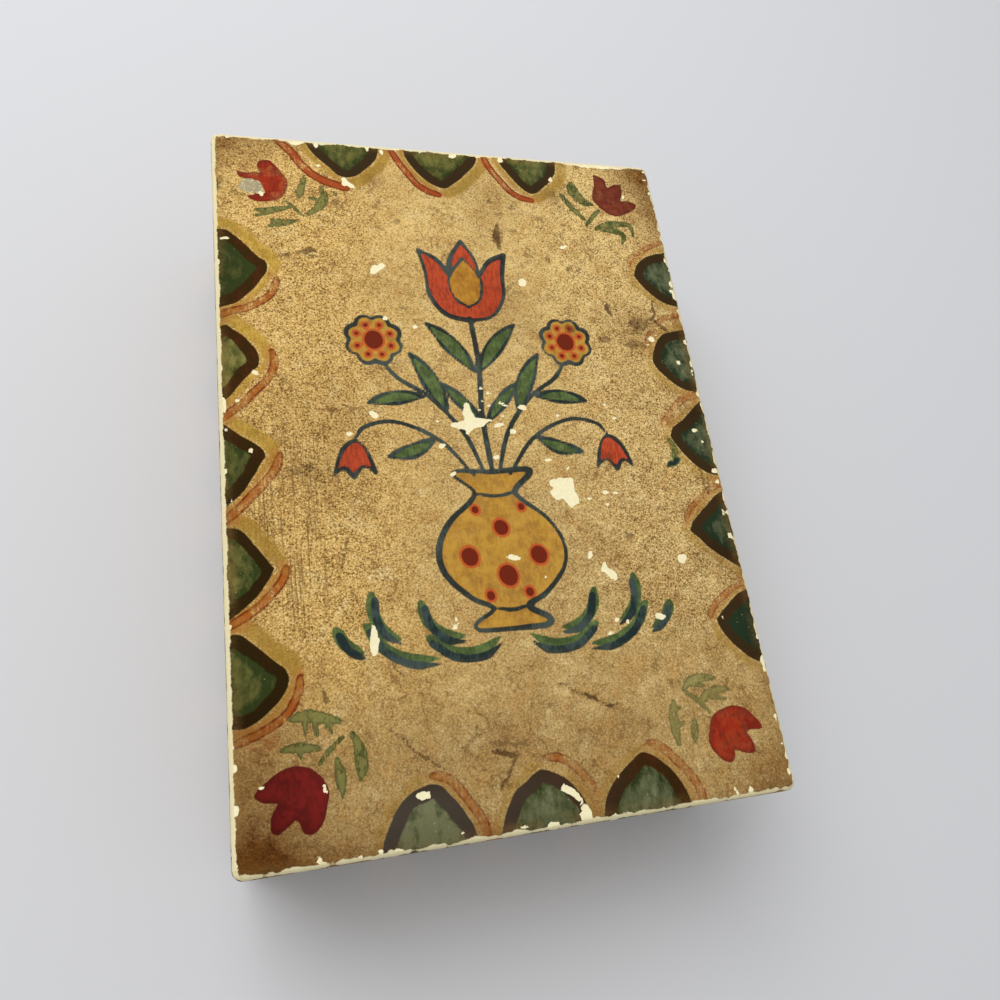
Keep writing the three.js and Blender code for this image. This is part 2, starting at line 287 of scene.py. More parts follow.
# Orange strokes beyond them: smooth lines of x and y, and half widths
ORANGE_STROKES = (
    (((-37, 71.4), (-34, 68.2), (-32.3, 65.3), (-30, 62.7), (-27.5, 61.1), (-25, 60.1), (-23, 59.5)), 1.08),
    (((-12.8, 71.4), (-11.5, 68.5), (-10.4, 66.3), (-9, 64), (-7.8, 62.2), (-6.4, 60.9), (-4.6, 59.9),
      (-2.9, 59.3)), 0.88),
    (((8.8, 71.4), (9.2, 69.3), (10.2, 67.1), (11.7, 64.7), (13.1, 62.5), (14.5, 61), (16, 60.1),
      (18.6, 59.4)), 0.88),
    (((-18, -60.7), (-16, -61.1), (-14.5, -62.2), (-13, -64.2), (-11.5, -66.5), (-10.2, -69),
      (-9.6, -71.6)), 0.88),
    (((2.1, -60.2), (4.5, -60.6), (6.2, -61.5), (7.7, -62.9), (8.9, -64.4), (10, -66.4)), 0.88),
    (((22, -60.1), (24.5, -61.5), (26.5, -63.6), (28.4, -66), (29.8, -68.3), (30.6, -71.6)), 0.93),
    (((39.2, 42.7), (40.1, 44.6), (41.8, 46.1), (44, 47.4), (46.2, 48.5), (49.4, 50)), 0.73),
    (((39.1, 21.4), (40, 23.6), (41.4, 26), (43.9, 28.3), (46.2, 29.4), (49.4, 30)), 0.73),
    (((38.9, 2.4), (39.9, 3.9), (41.1, 5.4), (43, 7.3), (45.2, 8.9), (49.2, 10.1)), 0.93),
    (((39.4, -18.6), (40.5, -16.5), (42.4, -14.9), (44.6, -13.2), (47.2, -11.7), (49.4, -11)), 0.73),
    (((39.8, -38.8), (41, -36.8), (42.9, -35.3), (45.1, -33.9), (47.7, -32.7), (49.4, -32.2)), 0.78),
    (((-38.4, 36.2), (-38.8, 34.5), (-39.9, 32.3), (-41.7, 30.8), (-44.3, 29.3), (-47.3, 28.4),
      (-49.6, 27.2)), 0.88),
    (((-40.1, 19.8), (-39.7, 18.1), (-39.9, 16.3), (-40.8, 14.2), (-42.1, 12.6), (-43.6, 11.1),
      (-45.4, 9), (-47.3, 7.4), (-49.4, 5.6)), 0.88),
    (((-39.6, -1.8), (-40.3, -4.1), (-41.7, -6.3), (-43.2, -8), (-45.1, -10), (-46.9, -11.9),
      (-49.4, -14.2)), 0.93),
    (((-39.5, -23.2), (-40.4, -25.6), (-42.5, -28.1), (-45.1, -30.4), (-49.2, -32.8)), 0.88),
    (((-38.2, -42.2), (-38.8, -45), (-40.3, -47.6), (-42.1, -49.1), (-45, -50.6), (-49.2, -52)), 0.83),
)

# Thin rusty washes between scallops: x, y, two radii and, where one is turned, by how many degrees
RUSTY_WASHES = (
    (48.4, 28.8, 1.5, 2.4), (47.6, -10.4, 2.2, 1.5, 20), (48.6, -31.4, 1.2, 2.2), (-9.3, -70.4, 1.9, 2.2),
    (-45.6, -51.2, 3.8, 2.1, -25), (10, -69.6, 1.2, 2.4), (-48.4, 6.8, 1.2, 1.6), (-48.2, -33.4, 1.6, 1),
    (45.8, 48.9, 3.4, 1, 28), (31, -69.4, 1, 2.2),
)


def beside(line, away):
    """A line of places along an edge and depths from it, moved out of the shape that it bounds: along its
    tangent turned by a right angle."""
    run = np.gradient(line, axis=0)
    run /= np.linalg.norm(run, axis=1)[:, None]
    side = math.copysign(away, line[-1, 0] - line[0, 0])
    return line + side * np.column_stack([-run[:, 1], run[:, 0]])


def paint_scallop(canvas, points, pale, halo, place):
    """One scallop, its green and the ochre beside it, with the same ones folded over the edge, less deep."""
    apex = np.argmax([depth for _, depth in points])
    line = np.vstack([smooth(points[: apex + 1], SCALLOP_STEPS), smooth(points[apex:], SCALLOP_STEPS)[1:]])
    fold = line * (1, -SCALLOP_FOLD)
    top = SCALLOP_STEPS * apex
    canvas.fill("scallop", place(np.vstack([line[:-1], fold[::-1][:-1]])))
    canvas.pale[(canvas.layers["scallop"] > -PALE_REACH) & (canvas.pale == 0)] = pale
    before = beside(line[: top + SCALLOP_STEPS + 1], halo[0])
    after = beside(line[top:], HALO_AFTER[0])
    for turned in ((1, 1), (1, -SCALLOP_FOLD)):
        canvas.stroke("halo", tapered(place(before * turned), halo[1], 1, 0.3))
        canvas.stroke("halo", tapered(place(after * turned), HALO_AFTER[1], 0.4, 1))


def paint_scallops(canvas, edge_x, edge_y):
    """Draws the border: each edge's scallops, turned so that their depth points to the lid's middle."""
    def across(sign):
        return lambda rows: np.column_stack([sign * (edge_x - rows[:, 1]), rows[:, 0]])

    def lengthwise(sign):
        return lambda rows: np.column_stack([rows[:, 0], sign * (edge_y - rows[:, 1])])

    sides = (
        (LEFT_SCALLOPS, LEFT_GREENS, HALO_WIDE, across(-1)),
        (FRONT_SCALLOPS, FRONT_GREENS, HALO_NARROW, lengthwise(-1)),
        (RIGHT_SCALLOPS, RIGHT_GREENS, HALO_NARROW, across(1)),
        (BACK_SCALLOPS, BACK_GREENS, HALO_WIDE, lengthwise(1)),
    )
    for scallops, greens, halo, place in sides:
        for points, pale in zip(scallops, greens):
            paint_scallop(canvas, points, pale, halo, place)
    for points, wide in ORANGE_STROKES:
        canvas.stroke("orange", brush(points, wide, 0.7, 0.8))
    for wash in RUSTY_WASHES:
        canvas.spot("wash", *wash)


# Corner tulips: outlines of arcs that meet in points
BACK_LEFT_BLOOM = (
    ((-43.2, 61.8), (-41.8, 62.2), (-40.5, 62)),
    ((-41.1, 63.8), (-40.5, 65.3)),
    ((-38.6, 65.5), (-37.5, 64.4), (-36.1, 62.4), (-35.1, 60.5), (-35.2, 58.7), (-36.1, 56.5),
     (-37.5, 55.2), (-39.6, 54.8), (-41.4, 54.7), (-43.2, 55.5)),
    ((-43, 56.2), (-41.8, 56.4), (-42.3, 58.2), (-43.2, 60.2)),
    ((-44.7, 60.9), (-45.3, 62.3)),
)
BACK_RIGHT_BLOOM = (
    ((37.7, 67.2), (38.1, 65.6), (38.1, 64.4)),
    ((40.1, 65.7), (41.9, 65.7)),
    ((41.8, 63.6), (40.9, 60.9)),
    ((42.6, 61.1), (44.8, 60.4)),
    ((44.2, 58.9), (41.7, 57.4), (39.2, 56.5), (36.8, 57.2), (34.3, 59.9), (33.8, 61.2), (34.3, 63.2),
     (35, 65.2), (35.2, 68.4)),
)
FRONT_LEFT_BLOOM = (
    ((-45.8, -59.2), (-44.3, -58.1), (-42.3, -56.8), (-40.1, -56.3), (-37.8, -56.8), (-36.1, -58.1),
     (-35, -59.9), (-34.8, -61.2), (-35.1, -62.7), (-35.6, -64.5), (-36.4, -66), (-37.8, -66.9),
     (-39, -66.5), (-39.6, -65.1), (-40.1, -64.4)),
    ((-41.5, -65.4), (-43.1, -66.3)),
    ((-44, -65.5), (-43.9, -63.6), (-43, -62), (-42.7, -61.6)),
    ((-45.2, -61.2), (-46.5, -60.2)),
)
FRONT_RIGHT_BLOOM = (
    ((42.9, -56.5), (45.4, -59.5), (45.4, -60.6)),
    ((43.2, -60.4), (41.9, -60.6)),
    ((42.9, -62.4), (43, -64.6)),
    ((40.9, -64.4), (38.8, -63.5)),
    ((38.5, -64.8), (37.7, -65.8)),
    ((35.9, -65), (34.4, -63.2), (33.9, -61.4), (34.4, -59.6), (35.4, -57.4), (37.3, -56.2),
     (40.1, -55.6)),
)
BLOOMS = (BACK_LEFT_BLOOM, BACK_RIGHT_BLOOM, FRONT_LEFT_BLOOM, FRONT_RIGHT_BLOOM)

# Corner leaves: strokes of x, y and half width
CORNER_LEAVES = (
    ((-31.8, 61.2, 0.5), (-32.2, 59.6, 0.8), (-32.6, 58, 0.9), (-32.8, 56.4, 0.4)),
    ((-32.5, 58.8, 0.4), (-33.8, 57.8, 0.25)),
    ((-28.2, 59, 0.5), (-27.7, 57.1, 0.9), (-28.8, 54.6, 1), (-31.3, 52.2, 0.4)),
    ((-28.9, 55.8, 0.5), (-30.9, 56.4, 0.3)),
    ((-35.8, 55.3, 0.3), (-34, 53.6, 0.4), (-32.5, 51.7, 0.35)),
    ((-35.2, 53.6, 0.4), (-38.3, 52.8, 0.8), (-41.8, 52.6, 0.35)),
    ((-38.3, 52.4, 0.5), (-40.3, 51.6, 0.4), (-42.2, 51.2, 0.3)),
    ((-33.7, 50.4, 0.3), (-36.1, 49.8, 0.8), (-38.6, 50.2, 0.4)),
    ((-36.4, 49.5, 0.5), (-39.3, 48.8, 0.35)),
    ((34.6, 57.7, 0.5), (32.7, 55.6, 0.5), (30.9, 53.4, 0.4)),
    ((26.1, 61.7, 0.4), (27.7, 58.8, 0.75), (30.6, 55.2, 0.5)),
    ((29.2, 65.1, 0.6), (29.2, 63.8, 1.3), (29.9, 61.8, 1.4), (31.5, 59.9, 1), (33.5, 59.4, 0.4)),
    ((32.9, 52.4, 0.4), (35, 53.6, 0.7), (37.2, 54.1, 0.9), (39.8, 54.3, 0.8), (42, 53.8, 0.6),
     (42.1, 51.1, 0.3)),
    ((34.2, 52.2, 0.3), (37.2, 52.3, 0.8), (39.7, 51.2, 0.7), (39, 48.7, 0.3)),
    ((-40.1, -49, 0.5), (-38.5, -48.7, 0.9), (-37.1, -48.8, 1.1), (-34.5, -49.4, 0.9),
     (-32.2, -50.2, 0.4)),
    ((-38, -49.6, 0.6), (-37.8, -51.6, 0.35)),
    ((-36.4, -49.6, 0.6), (-36.2, -51.8, 0.35)),
    ((-34.3, -50.1, 0.6), (-33.7, -51.8, 0.3)),
    ((-41.8, -53.6, 0.4), (-38.9, -53.6, 0.9), (-35.9, -54.1, 0.4)),
    ((-39.1, -54.1, 0.5), (-38.7, -55.4, 0.3)),
    ((-32.1, -52.7, 0.35), (-34.1, -54.4, 0.5), (-36, -56.5, 0.4)),
    ((-33.2, -56.2, 0.5), (-32.8, -58.9, 0.85), (-32.7, -62, 0.35)),
    ((-30.4, -52.4, 0.5), (-29.5, -54.9, 1), (-29.3, -57.4, 1.05), (-29.6, -59.8, 0.4)),
    ((28.4, -53.9, 0.6), (27.7, -57.3, 1.1), (27.8, -61.2, 0.45)),
    ((28, -55.4, 0.5), (29.6, -54.8, 0.3)),
    ((28, -58.1, 0.5), (29.6, -57.5, 0.3)),
    ((31.9, -57.4, 0.5), (31.5, -59.3, 0.85), (31.2, -61.2, 0.35)),
    ((31.2, -52.2, 0.35), (33.3, -53.9, 0.5), (35.4, -56.4, 0.4)),
    ((31.1, -51.7, 0.5), (32.5, -50.4, 0.8), (35.3, -49.9, 0.9), (38, -50.2, 0.35)),
    ((32.9, -51, 0.5), (35.8, -51.6, 0.3)),
    ((33.8, -54.9, 0.4), (35.2, -53.3, 0.8), (37.3, -52.5, 0.9), (40.4, -52.6, 0.35)),
    ((35.8, -53.5, 0.5), (39.3, -54.3, 0.3)),
    ((39.6, -0.6, 0.4), (40.2, -2, 0.7), (40.4, -3.6, 0.8), (39.8, -4.6, 0.4)),
    ((-26.1, 58.5, 0.1), (-25.4, 57.7, 0.3), (-25, 56.9, 0.1)),
    ((-48.9, 59.4, 0.1), (-48.6, 57.8, 0.35), (-48.8, 56.3, 0.1)),
)

LEAF_STEPS = 4

# A stray dab of dark green by the right edge, with a darker middle
BLOT_INSET = 0.25
STRAY_BLOT = ((37.9, -6.7, 0.3), (38.8, -6, 0.75), (39.6, -6.3, 0.5), (40.2, -5.4, 0.85), (41, -5, 0.3))

# Where the back left tulip is rubbed through
BARE_PATCH = (
    (-44.5, 59.3), (-43.9, 60.2), (-42.5, 60.5), (-40.9, 59.8), (-40, 58.6), (-39.8, 57.2), (-40.4, 56.4),
    (-41.6, 56.8), (-42.9, 56.8), (-44.1, 57.2), (-45, 58.1),
)


def paint_corners(canvas):
    """Draws a tulip and its leaves in each corner."""
    for bloom in BLOOMS:
        canvas.fill("bloom", outline(*bloom))
    for leaf in CORNER_LEAVES:
        canvas.stroke("leaf", smooth(leaf, LEAF_STEPS))
    canvas.fill("bare", BARE_PATCH)
    blot = smooth(STRAY_BLOT, LEAF_STEPS)
    canvas.stroke("bottle", blot)
    canvas.stroke("line", blot - (0, 0, BLOT_INSET))


# Middle of the lid: a vase with a tulip, two rosettes, two bells and leaves, alike on both sides
VASE_SIDE = (
    (0.2, -37.4), (6.4, -37.2), (6.9, -35.8), (3.4, -33.4), (7.2, -31.2), (11.6, -26.4), (12.2, -21.4),
    (9.6, -16.4), (5.2, -12.6), (4.2, -10.4), (7.6, -7.2), (6.6, -6.2), (0.2, -6.6),
)
VASE_SPOTS = (
    (-6.6, -23.4, 1.7), (0.2, -18, 1.5), (6.9, -23.8, 1.7), (0.3, -27.4, 1.9), (-3.6, -31, 0.9),
    (4, -30.8, 0.9), (-4.4, -14.2, 0.8), (4.8, -14, 0.8),
)
VASE_NECK = ((-4.6, -10.8), (0.2, -11.6), (4.7, -10.7))
VASE_FOOT = ((-3.6, -33.2), (0.2, -33.9), (3.8, -33.2))
MIDDLE_STEM = ((0.1, -6.6), (-0.3, 6), (0.5, 17), (0.1, 28))
SIDE_STEM = ((1.6, -6.4), (4.6, 2), (10.4, 9.6), (16.2, 13.8), (19.2, 17.6))
BELL_STEM = ((3.6, -7.2), (9.6, 0.4), (17.6, 4.4), (23.6, 3.6), (25.8, 1))
BELL = (
    ((22.6, -5.6), (24, -1), (26, 0.6), (28.4, -1.4), (30.2, -6.2)),
    ((28.2, -4.8), (26.5, -6.8)),
    ((24.8, -4.7), (22.6, -5.6)),
)
TULIP = (
    ((0.2, 27.4), (-4.8, 28.8), (-7.8, 33.4), (-8.2, 39), (-9.2, 44.6)),
    ((-5.6, 42.4), (-3, 38.6)),
    ((-2.4, 42.8), (0.4, 47.4)),
    ((2.9, 42.6), (3.4, 38.4)),
    ((6, 42.2), (9.7, 44.2)),
    ((8.6, 38.6), (8.1, 33.2), (5, 28.6), (0.2, 27.4)),
)
TULIP_HEART = (
    ((-2.6, 33), (-3.3, 37.8), (0.3, 43)),
    ((3.6, 37.8), (2.9, 32.8), (0.2, 30.6)),
)

# Leaves on the stems: tip, root, how wide their controls stand, and bend
SIDE_LEAVES = (
    ((13.6, 19.6), (7.4, 6.2), 3.2, 1.4),
    ((22.6, 8.6), (11.6, 9.8), 2.6, 1),
    ((19.8, -2.8), (10.4, 0.6), 2.6, -1.2),
    ((9.4, 26.6), (0.6, 15.4), 3.2, 1.2),
    ((8, 12.8), (0.6, 4), 2.2, 0.6),
)

ROSETTE = (20.4, 22.6)
ROSETTE_PETALS = 8
ROSETTE_RADIUS = 5.2
ROSETTE_WAVE = 0.9
ROSETTE_HEART = (2, 2.2)
ROSETTE_RING = 3.6
ROSETTE_DOT = 0.6
COMMA_STROKES = (
    ((2.4, -39.6), (6.2, -41.8), (11.4, -41.6), (15.4, -38.8)),
    ((13.8, -42.4), (18.8, -42.2), (23.4, -39.8), (26.2, -35.8)),
    ((8.6, -39), (12.4, -38.4), (15.2, -35.8), (16.2, -32.4)),
    ((20.4, -38.6), (23.4, -36.6), (24.8, -33.4), (24.8, -30.2)),
    ((26.8, -40.6), (29.8, -38.8), (31.4, -36)),
)
COMMA_SHIFT = (0.5, 1)


def both(draw, layer, shape):
    """Draws a shape and its mirror image."""
    draw(layer, shape)
    draw(layer, mirrored(shape))


def rosette(x, y, radius, wave):
    """A round flower: its radius swells and shrinks once for each petal."""
    turn = np.linspace(0, 2 * math.pi, 96, endpoint=False)
    reach = radius + wave * np.abs(np.sin(turn * ROSETTE_PETALS / 2)) - wave / 2
    return np.column_stack([x + reach * np.cos(turn), y + reach * np.sin(turn)])


def closed(shape):
    """The outline with its first point added at its end, for a stroke that goes right round."""
    return np.vstack([shape, shape[:1]])


def inked(shape, wide):
    """A line round a shape, whose half width swells and thins three times on its way."""
    ring = closed(shape)
    along = np.linspace(0, 6 * math.pi, len(ring))
    return np.column_stack([ring, wide * (1 + 0.25 * np.sin(along))])


def paint_vase(canvas):
    """Draws the vase, its spots and its outline."""
    side = smooth(VASE_SIDE)
    vase = np.vstack([side, mirrored(side)])
    canvas.fill("ochre", vase)
    canvas.stroke("line", inked(vase, 0.52))
    for x, y, radius in VASE_SPOTS:
        canvas.spot("dots", x, y, radius, radius * 1.15, 20)
    canvas.stroke("line", brush(VASE_NECK, 0.4))
    canvas.stroke("line", brush(VASE_FOOT, 0.4))


def paint_tulip(canvas):
    """Draws the large bloom on the middle stem: two outer petals, and one between them."""
    outer = outline(*TULIP)
    canvas.fill("petal", outer)
    canvas.stroke("line", inked(outer, 0.5))
    heart = outline(*TULIP_HEART)
    canvas.fill("ochre", heart)
    canvas.stroke("line", inked(heart, 0.32))


def paint_bouquet(canvas):
    """Draws the stems, leaves and side flowers."""
    canvas.stroke("line", brush(MIDDLE_STEM, 0.6, 0.8, 0.8))
    both(canvas.stroke, "line", brush(SIDE_STEM, 0.5, 0.7, 0.5))
    both(canvas.stroke, "line", brush(BELL_STEM, 0.45, 0.7, 0.5))
    for tip, root, wide, bend in SIDE_LEAVES:
        leaf = almond(tip, root, wide, bend)
        both(canvas.fill, "bottle", leaf)
        both(canvas.stroke, "line", inked(leaf, 0.36))
    flower = rosette(*ROSETTE, ROSETTE_RADIUS, ROSETTE_WAVE)
    both(canvas.fill, "ochre", flower)
    both(canvas.stroke, "line", inked(flower, 0.42))
    x, y = ROSETTE
    for side in (-1, 1):
        canvas.spot("dots", side * x, y, *ROSETTE_HEART)
        for petal in range(ROSETTE_PETALS):
            turn = 2 * math.pi * (petal + 0.5) / ROSETTE_PETALS
            dot_x = side * (x + ROSETTE_RING * math.cos(turn))
            canvas.spot("dots", dot_x, y + ROSETTE_RING * math.sin(turn), ROSETTE_DOT)
    bell = outline(*BELL)
    both(canvas.fill, "petal", bell)
    both(canvas.stroke, "line", inked(bell, 0.4))
    for stroke in COMMA_STROKES:
        both(canvas.stroke, "line", brush(stroke, 0.75, 0.15, 0.9))
        both(canvas.stroke, "bottle", brush(np.array(stroke) + COMMA_SHIFT, 1.1, 0.2, 0.6))


# Paint knocked off the lid: outlines of the larger patches
LID_PATCHES = (
    ((-3.9, 8), (-3.2, 8.6), (-2.7, 8.2), (-2.6, 7), (-2.2, 5.9), (-1.9, 5.1), (-0.5, 4.9), (1.7, 4.7),
     (1.9, 4.4), (0.6, 4.1), (0.2, 3.9), (-0.1, 3.3), (-1.5, 3), (-2.5, 2.7), (-3.3, 2), (-3.6, 1.5),
     (-4.2, 1.6), (-4, 2.5), (-4.9, 2.7), (-5.9, 2.4), (-5.6, 3), (-6.6, 3.1), (-7.1, 3.7), (-6.7, 4.1),
     (-5.5, 4.1), (-4.2, 4.5), (-4, 5.3), (-4.4, 6), (-4.1, 6.8)),
    ((0.9, 3.5), (1.9, 3.3), (2.2, 3.8), (3.8, 3.9), (4.1, 3.5), (2.9, 3), (1.7, 2.9)),
    ((3.3, 8.3), (3.6, 8.8), (4.6, 8.2), (5.9, 7.3), (4.6, 7.5)),
    ((11.3, -9.3), (11.8, -8.6), (13.2, -8.5), (13.7, -8), (14.2, -8.4), (16.4, -8.4), (16.5, -9.5),
     (16.4, -11.4), (17, -12.6), (16.9, -13.9), (16.1, -14), (15.8, -14.5), (15.2, -14.9), (14.6, -14.2),
     (13.8, -12.9), (13.3, -12.6), (12.9, -12.9), (12.2, -12.9), (11.4, -11.8), (11.2, -11), (12, -10.8),
     (12.1, -10.2), (11.4, -9.9)),
    ((-24, 62), (-23.5, 62.4), (-22.9, 62.2), (-22.6, 61.5), (-21.4, 60.5), (-21.1, 59.9), (-21.3, 59.6),
     (-22.3, 59.8), (-22.8, 60.2), (-23.6, 60), (-23.9, 60.6), (-23.6, 61.2)),
    ((-25.2, -34.6), (-24.9, -35.5), (-24.8, -36.6), (-24.5, -37.3), (-24.8, -38), (-25.1, -39.2),
     (-25.4, -40.1), (-26, -39.9), (-26.2, -39), (-26.4, -38.3), (-26.2, -37), (-25.9, -35.6),
     (-25.7, -34.6)),
    ((12.1, 36.5), (12.2, 38.1), (13.1, 38.3), (13.9, 37.9), (13.8, 36.4), (12.9, 36.3)),
    ((-19.7, 38.2), (-19.6, 39.6), (-18.8, 40.4), (-18.1, 40.2), (-17.4, 40.9), (-16.7, 40.8),
     (-16.4, 40.1), (-17, 39.4), (-18, 39), (-18.4, 38.3), (-19, 38.1)),
    ((-22.8, 6.4), (-22.4, 7.1), (-21.5, 6.6), (-20.9, 5.9), (-21.2, 5.2), (-21.9, 5.3)),
    ((18.9, -27.5), (19.6, -26.1), (20.2, -26.1), (20.4, -27.3), (21.7, -28.1), (22.1, -29.1), (21.6, -30),
     (20.7, -29.6), (19.8, -28.3), (19, -28.1)),
    ((16.7, -25.2), (16.9, -23.9), (17.7, -23.6), (17.7, -24.8), (17.1, -25.5)),
    ((28.2, -37.3), (28.8, -36.7), (30.2, -37.3), (30.5, -38), (29.5, -38.4), (28.4, -38)),
    ((-20.8, -63), (-19.6, -62.8), (-18.5, -63.2), (-18.6, -64.1), (-20.1, -64.3), (-21, -63.7)),
    ((3.8, -65.9), (4.7, -65), (5.7, -65.5), (6.6, -66.3), (7.3, -67.3), (7.9, -68.6), (6.9, -68.2),
     (6.1, -67.3), (5, -66.6)),
    ((7, -68.8), (8.4, -68.9), (8.9, -70), (9, -71.4), (7.4, -71.4), (6.6, -70.3), (7.3, -69.7)),
    ((26, 72), (27.3, 71), (29.5, 70.5), (31.2, 70.7), (33, 70.2), (35.4, 70.4), (38, 70.1), (40.2, 70.5),
     (42.5, 70.4), (44.6, 71), (46.6, 72)),
)

# Smaller flakes: x, y, two radii and, where one is turned, by how many degrees
LID_CHIPS = (
    (-28.5, 65, 0.5, 0.4), (-28.6, 70.4, 0.45, 0.7), (-33, 70.8, 1.6, 0.8), (-14.6, 70.1, 0.5, 1),
    (24.2, 65.8, 0.55, 0.85), (15, -65.2, 0.45, 0.3), (-43.2, 15.1, 1.1, 0.45, -20), (-46.6, 9.3, 0.5, 0.4),
    (-44.7, -0.9, 0.55, 0.5), (-48.1, 45.3, 1.1, 0.3, 10), (-49, 8, 0.5, 1.6), (41, 23.6, 0.55, 0.9, 20),
    (39.7, 22.3, 0.4, 0.3), (46.1, 17.8, 0.45, 0.6), (46.1, 1.4, 0.8, 0.4), (47.4, -1.3, 0.35, 0.35),
    (45.9, -2.8, 0.35, 0.3), (42.5, -39, 0.4, 0.35), (36.5, -26.4, 1.2, 1.05), (-17.7, 27.7, 0.6, 0.5),
    (-11.7, 25.7, 0.6, 0.5), (-26.8, 2.1, 0.65, 0.5, -20), (5.6, 1.9, 0.7, 0.6), (8.2, 7.3, 1.1, 0.55, -20),
    (0.2, 11.7, 0.4, 0.35), (1.6, 10.5, 0.4, 0.35), (-2, 10.5, 0.35, 0.3), (0.2, 8.7, 0.4, 0.35),
    (1.4, 7.7, 0.35, 0.3), (-0.8, 6.8, 0.4, 0.3), (3.9, 5.4, 0.4, 0.3), (-9.5, 4.4, 0.4, 0.3),
    (-9.3, -0.8, 0.8, 0.5, 30), (12, -4.4, 0.8, 0.45), (15.8, -6.3, 0.4, 0.4), (-7.8, -6.8, 0.9, 0.45, 40),
    (1.3, -3.5, 0.9, 0.45, 20), (22.9, -11.8, 0.95, 0.45), (25, -12, 0.7, 0.3), (19.2, -13, 0.6, 0.4),
    (22.9, -14.4, 0.45, 0.4), (-11, -36.2, 0.55, 0.45), (-10.5, -34.8, 0.35, 0.8),
    (1.9, -24.1, 1.6, 0.7, -10), (20.2, -37.5, 0.6, 0.4), (22.4, -38.1, 0.35, 0.4), (18.5, -39.9, 0.9, 0.3),
    (-40.6, 56.8, 0.5, 0.8, 30), (7.5, -28.2, 0.5, 0.3), (15.7, 5.3, 0.5, 0.35, 30), (28.1, 4.7, 0.6, 0.4),
    (26.5, 7.8, 0.35, 0.5), (-45.1, -58.9, 0.5, 0.3, 30), (-35.4, -60.3, 0.35, 0.9, 15),
    (41.8, 62.2, 0.35, 0.7, -20), (48.9, -63.8, 0.35, 0.3), (37.2, -70.6, 0.35, 1, 15),
    (24.1, 47, 1, 0.5, 20), (29.5, 6.5, 0.4, 0.25, 10), (31.2, 5.3, 0.3, 0.3), (33.2, 7.2, 0.35, 0.2, 30),
    (27.4, 9, 0.3, 0.2), (35.1, 3.1, 0.4, 0.25, 40), (30.3, 2.6, 0.3, 0.25), (33.9, 10.3, 0.25, 0.2),
    (36.8, 8.2, 0.3, 0.2, 20), (26.2, 1.2, 0.25, 0.2), (42, 24.7, 0.4, 0.25, 30), (40.1, 23.5, 0.3, 0.3),
)

# Dark marks: x, y and two radii
LID_STAINS = (
    (9, 49, 1.3, 2.1), (12.9, 50.7, 1.1, 0.6), (15.2, 44.4, 0.9, 0.5), (20, 43.5, 0.5, 1.5),
    (24.3, 41, 0.7, 1.1), (26.5, 40.3, 0.4, 0.8), (31.9, 31.2, 0.8, 1.7), (38.6, 27.4, 2.6, 1.8),
    (37.3, 25.2, 0.9, 0.5), (29.5, 23.3, 1.5, 1), (22, 26.2, 1.2, 1.3), (35.9, 22.2, 1.4, 1.4),
    (-36.8, -5.2, 1.3, 1), (-34.6, -4.6, 1, 0.8), (-25.2, -6, 0.6, 0.6), (-45.9, 56.9, 0.8, 0.5),
    (28.8, -50, 0.5, 0.5), (7.5, -48.3, 1.3, 0.5), (4, -51.8, 1.3, 0.5), (-6, -57, 1.4, 0.7),
    (-1.8, -57.4, 1.5, 0.7), (-5.6, -63.8, 1.2, 0.8), (12.7, -51, 1.4, 0.4), (15.4, -52.7, 0.9, 0.5),
    (-13, 51.5, 1, 0.8), (-3.5, 43.2, 0.5, 0.7), (26.2, -21.1, 1.1, 0.7), (8.2, 58.4, 0.9, 0.6),
    (13.5, 57.4, 1, 0.5), (19.6, 54.6, 1.2, 0.5), (-25.5, 55.6, 0.9, 1.2), (-29, 38.9, 0.7, 0.6),
    (25.3, -4.6, 0.8, 1.2), (43.8, 26.4, 0.6, 0.5), (-20.5, -57.6, 1.5, 0.4),
)

# Dark cracks: rows of x, y and half width
LID_CRACKS = (
    ((-38, 41.3, 0), (-36.4, 41.9, 0.15), (-34.6, 42.4, 0.1), (-33, 42.8, 0.3), (-31.4, 43.4, 0.5),
     (-30.4, 43, 0.2)),
    ((-32.8, 42.6, 0.1), (-31, 41.8, 0.15)),
    ((-24.4, -52.4, 0), (-22, -54.3, 0.12), (-20.4, -56.4, 0.08), (-18.6, -57.8, 0.15), (-15.6, -60, 0)),
    ((-22.8, -41, 0), (-22.2, -42.6, 0.1), (-21.2, -43.8, 0)),
    ((7, -48, 0), (9.6, -49.8, 0.1), (11.8, -50.7, 0.3), (13.4, -51.6, 0.2), (15.8, -53.1, 0.15),
     (17.4, -52.8, 0)),
    ((-6.6, -64.4, 0), (-4.9, -62.5, 0.2), (-3.6, -60.4, 0.15), (-2.3, -58.4, 0)),
    ((-6.8, -58.2, 0.2), (-4.4, -58.9, 0.35), (-2.6, -59.4, 0.2)),
    ((-29.6, -22.4, 0), (-28.8, -19.2, 0.1), (-28.9, -16, 0)),
    ((-34.6, -45.2, 0.2), (-34.3, -46.6, 0.4)),
    ((9.5, 52.4, 0.1), (9.1, 50.4, 0.55), (8.7, 48.6, 0.8), (9, 47.4, 0.3)),
    ((9.1, 46.4, 0.35), (9.1, 45.9, 0.3)),
    ((31.7, 32.6, 0.1), (31.7, 31.3, 0.5), (32.3, 29.8, 0.1)),
    ((43.6, 34.4, 0), (43, 33, 0.15), (42.8, 31.4, 0.3), (43.2, 30, 0.2), (42, 28.8, 0.25),
     (40.6, 28.5, 0.1)),
    ((42, 28.9, 0.1), (43.2, 27.6, 0.2), (44.6, 26.3, 0.4), (45.4, 25.8, 0.1)),
    ((45.2, -7, 0), (45.5, -9, 0.15), (45.4, -11, 0.15), (45.9, -13.2, 0)),
    ((46.8, -8.6, 0), (46.3, -10.6, 0.12), (46.6, -12.6, 0)),
)

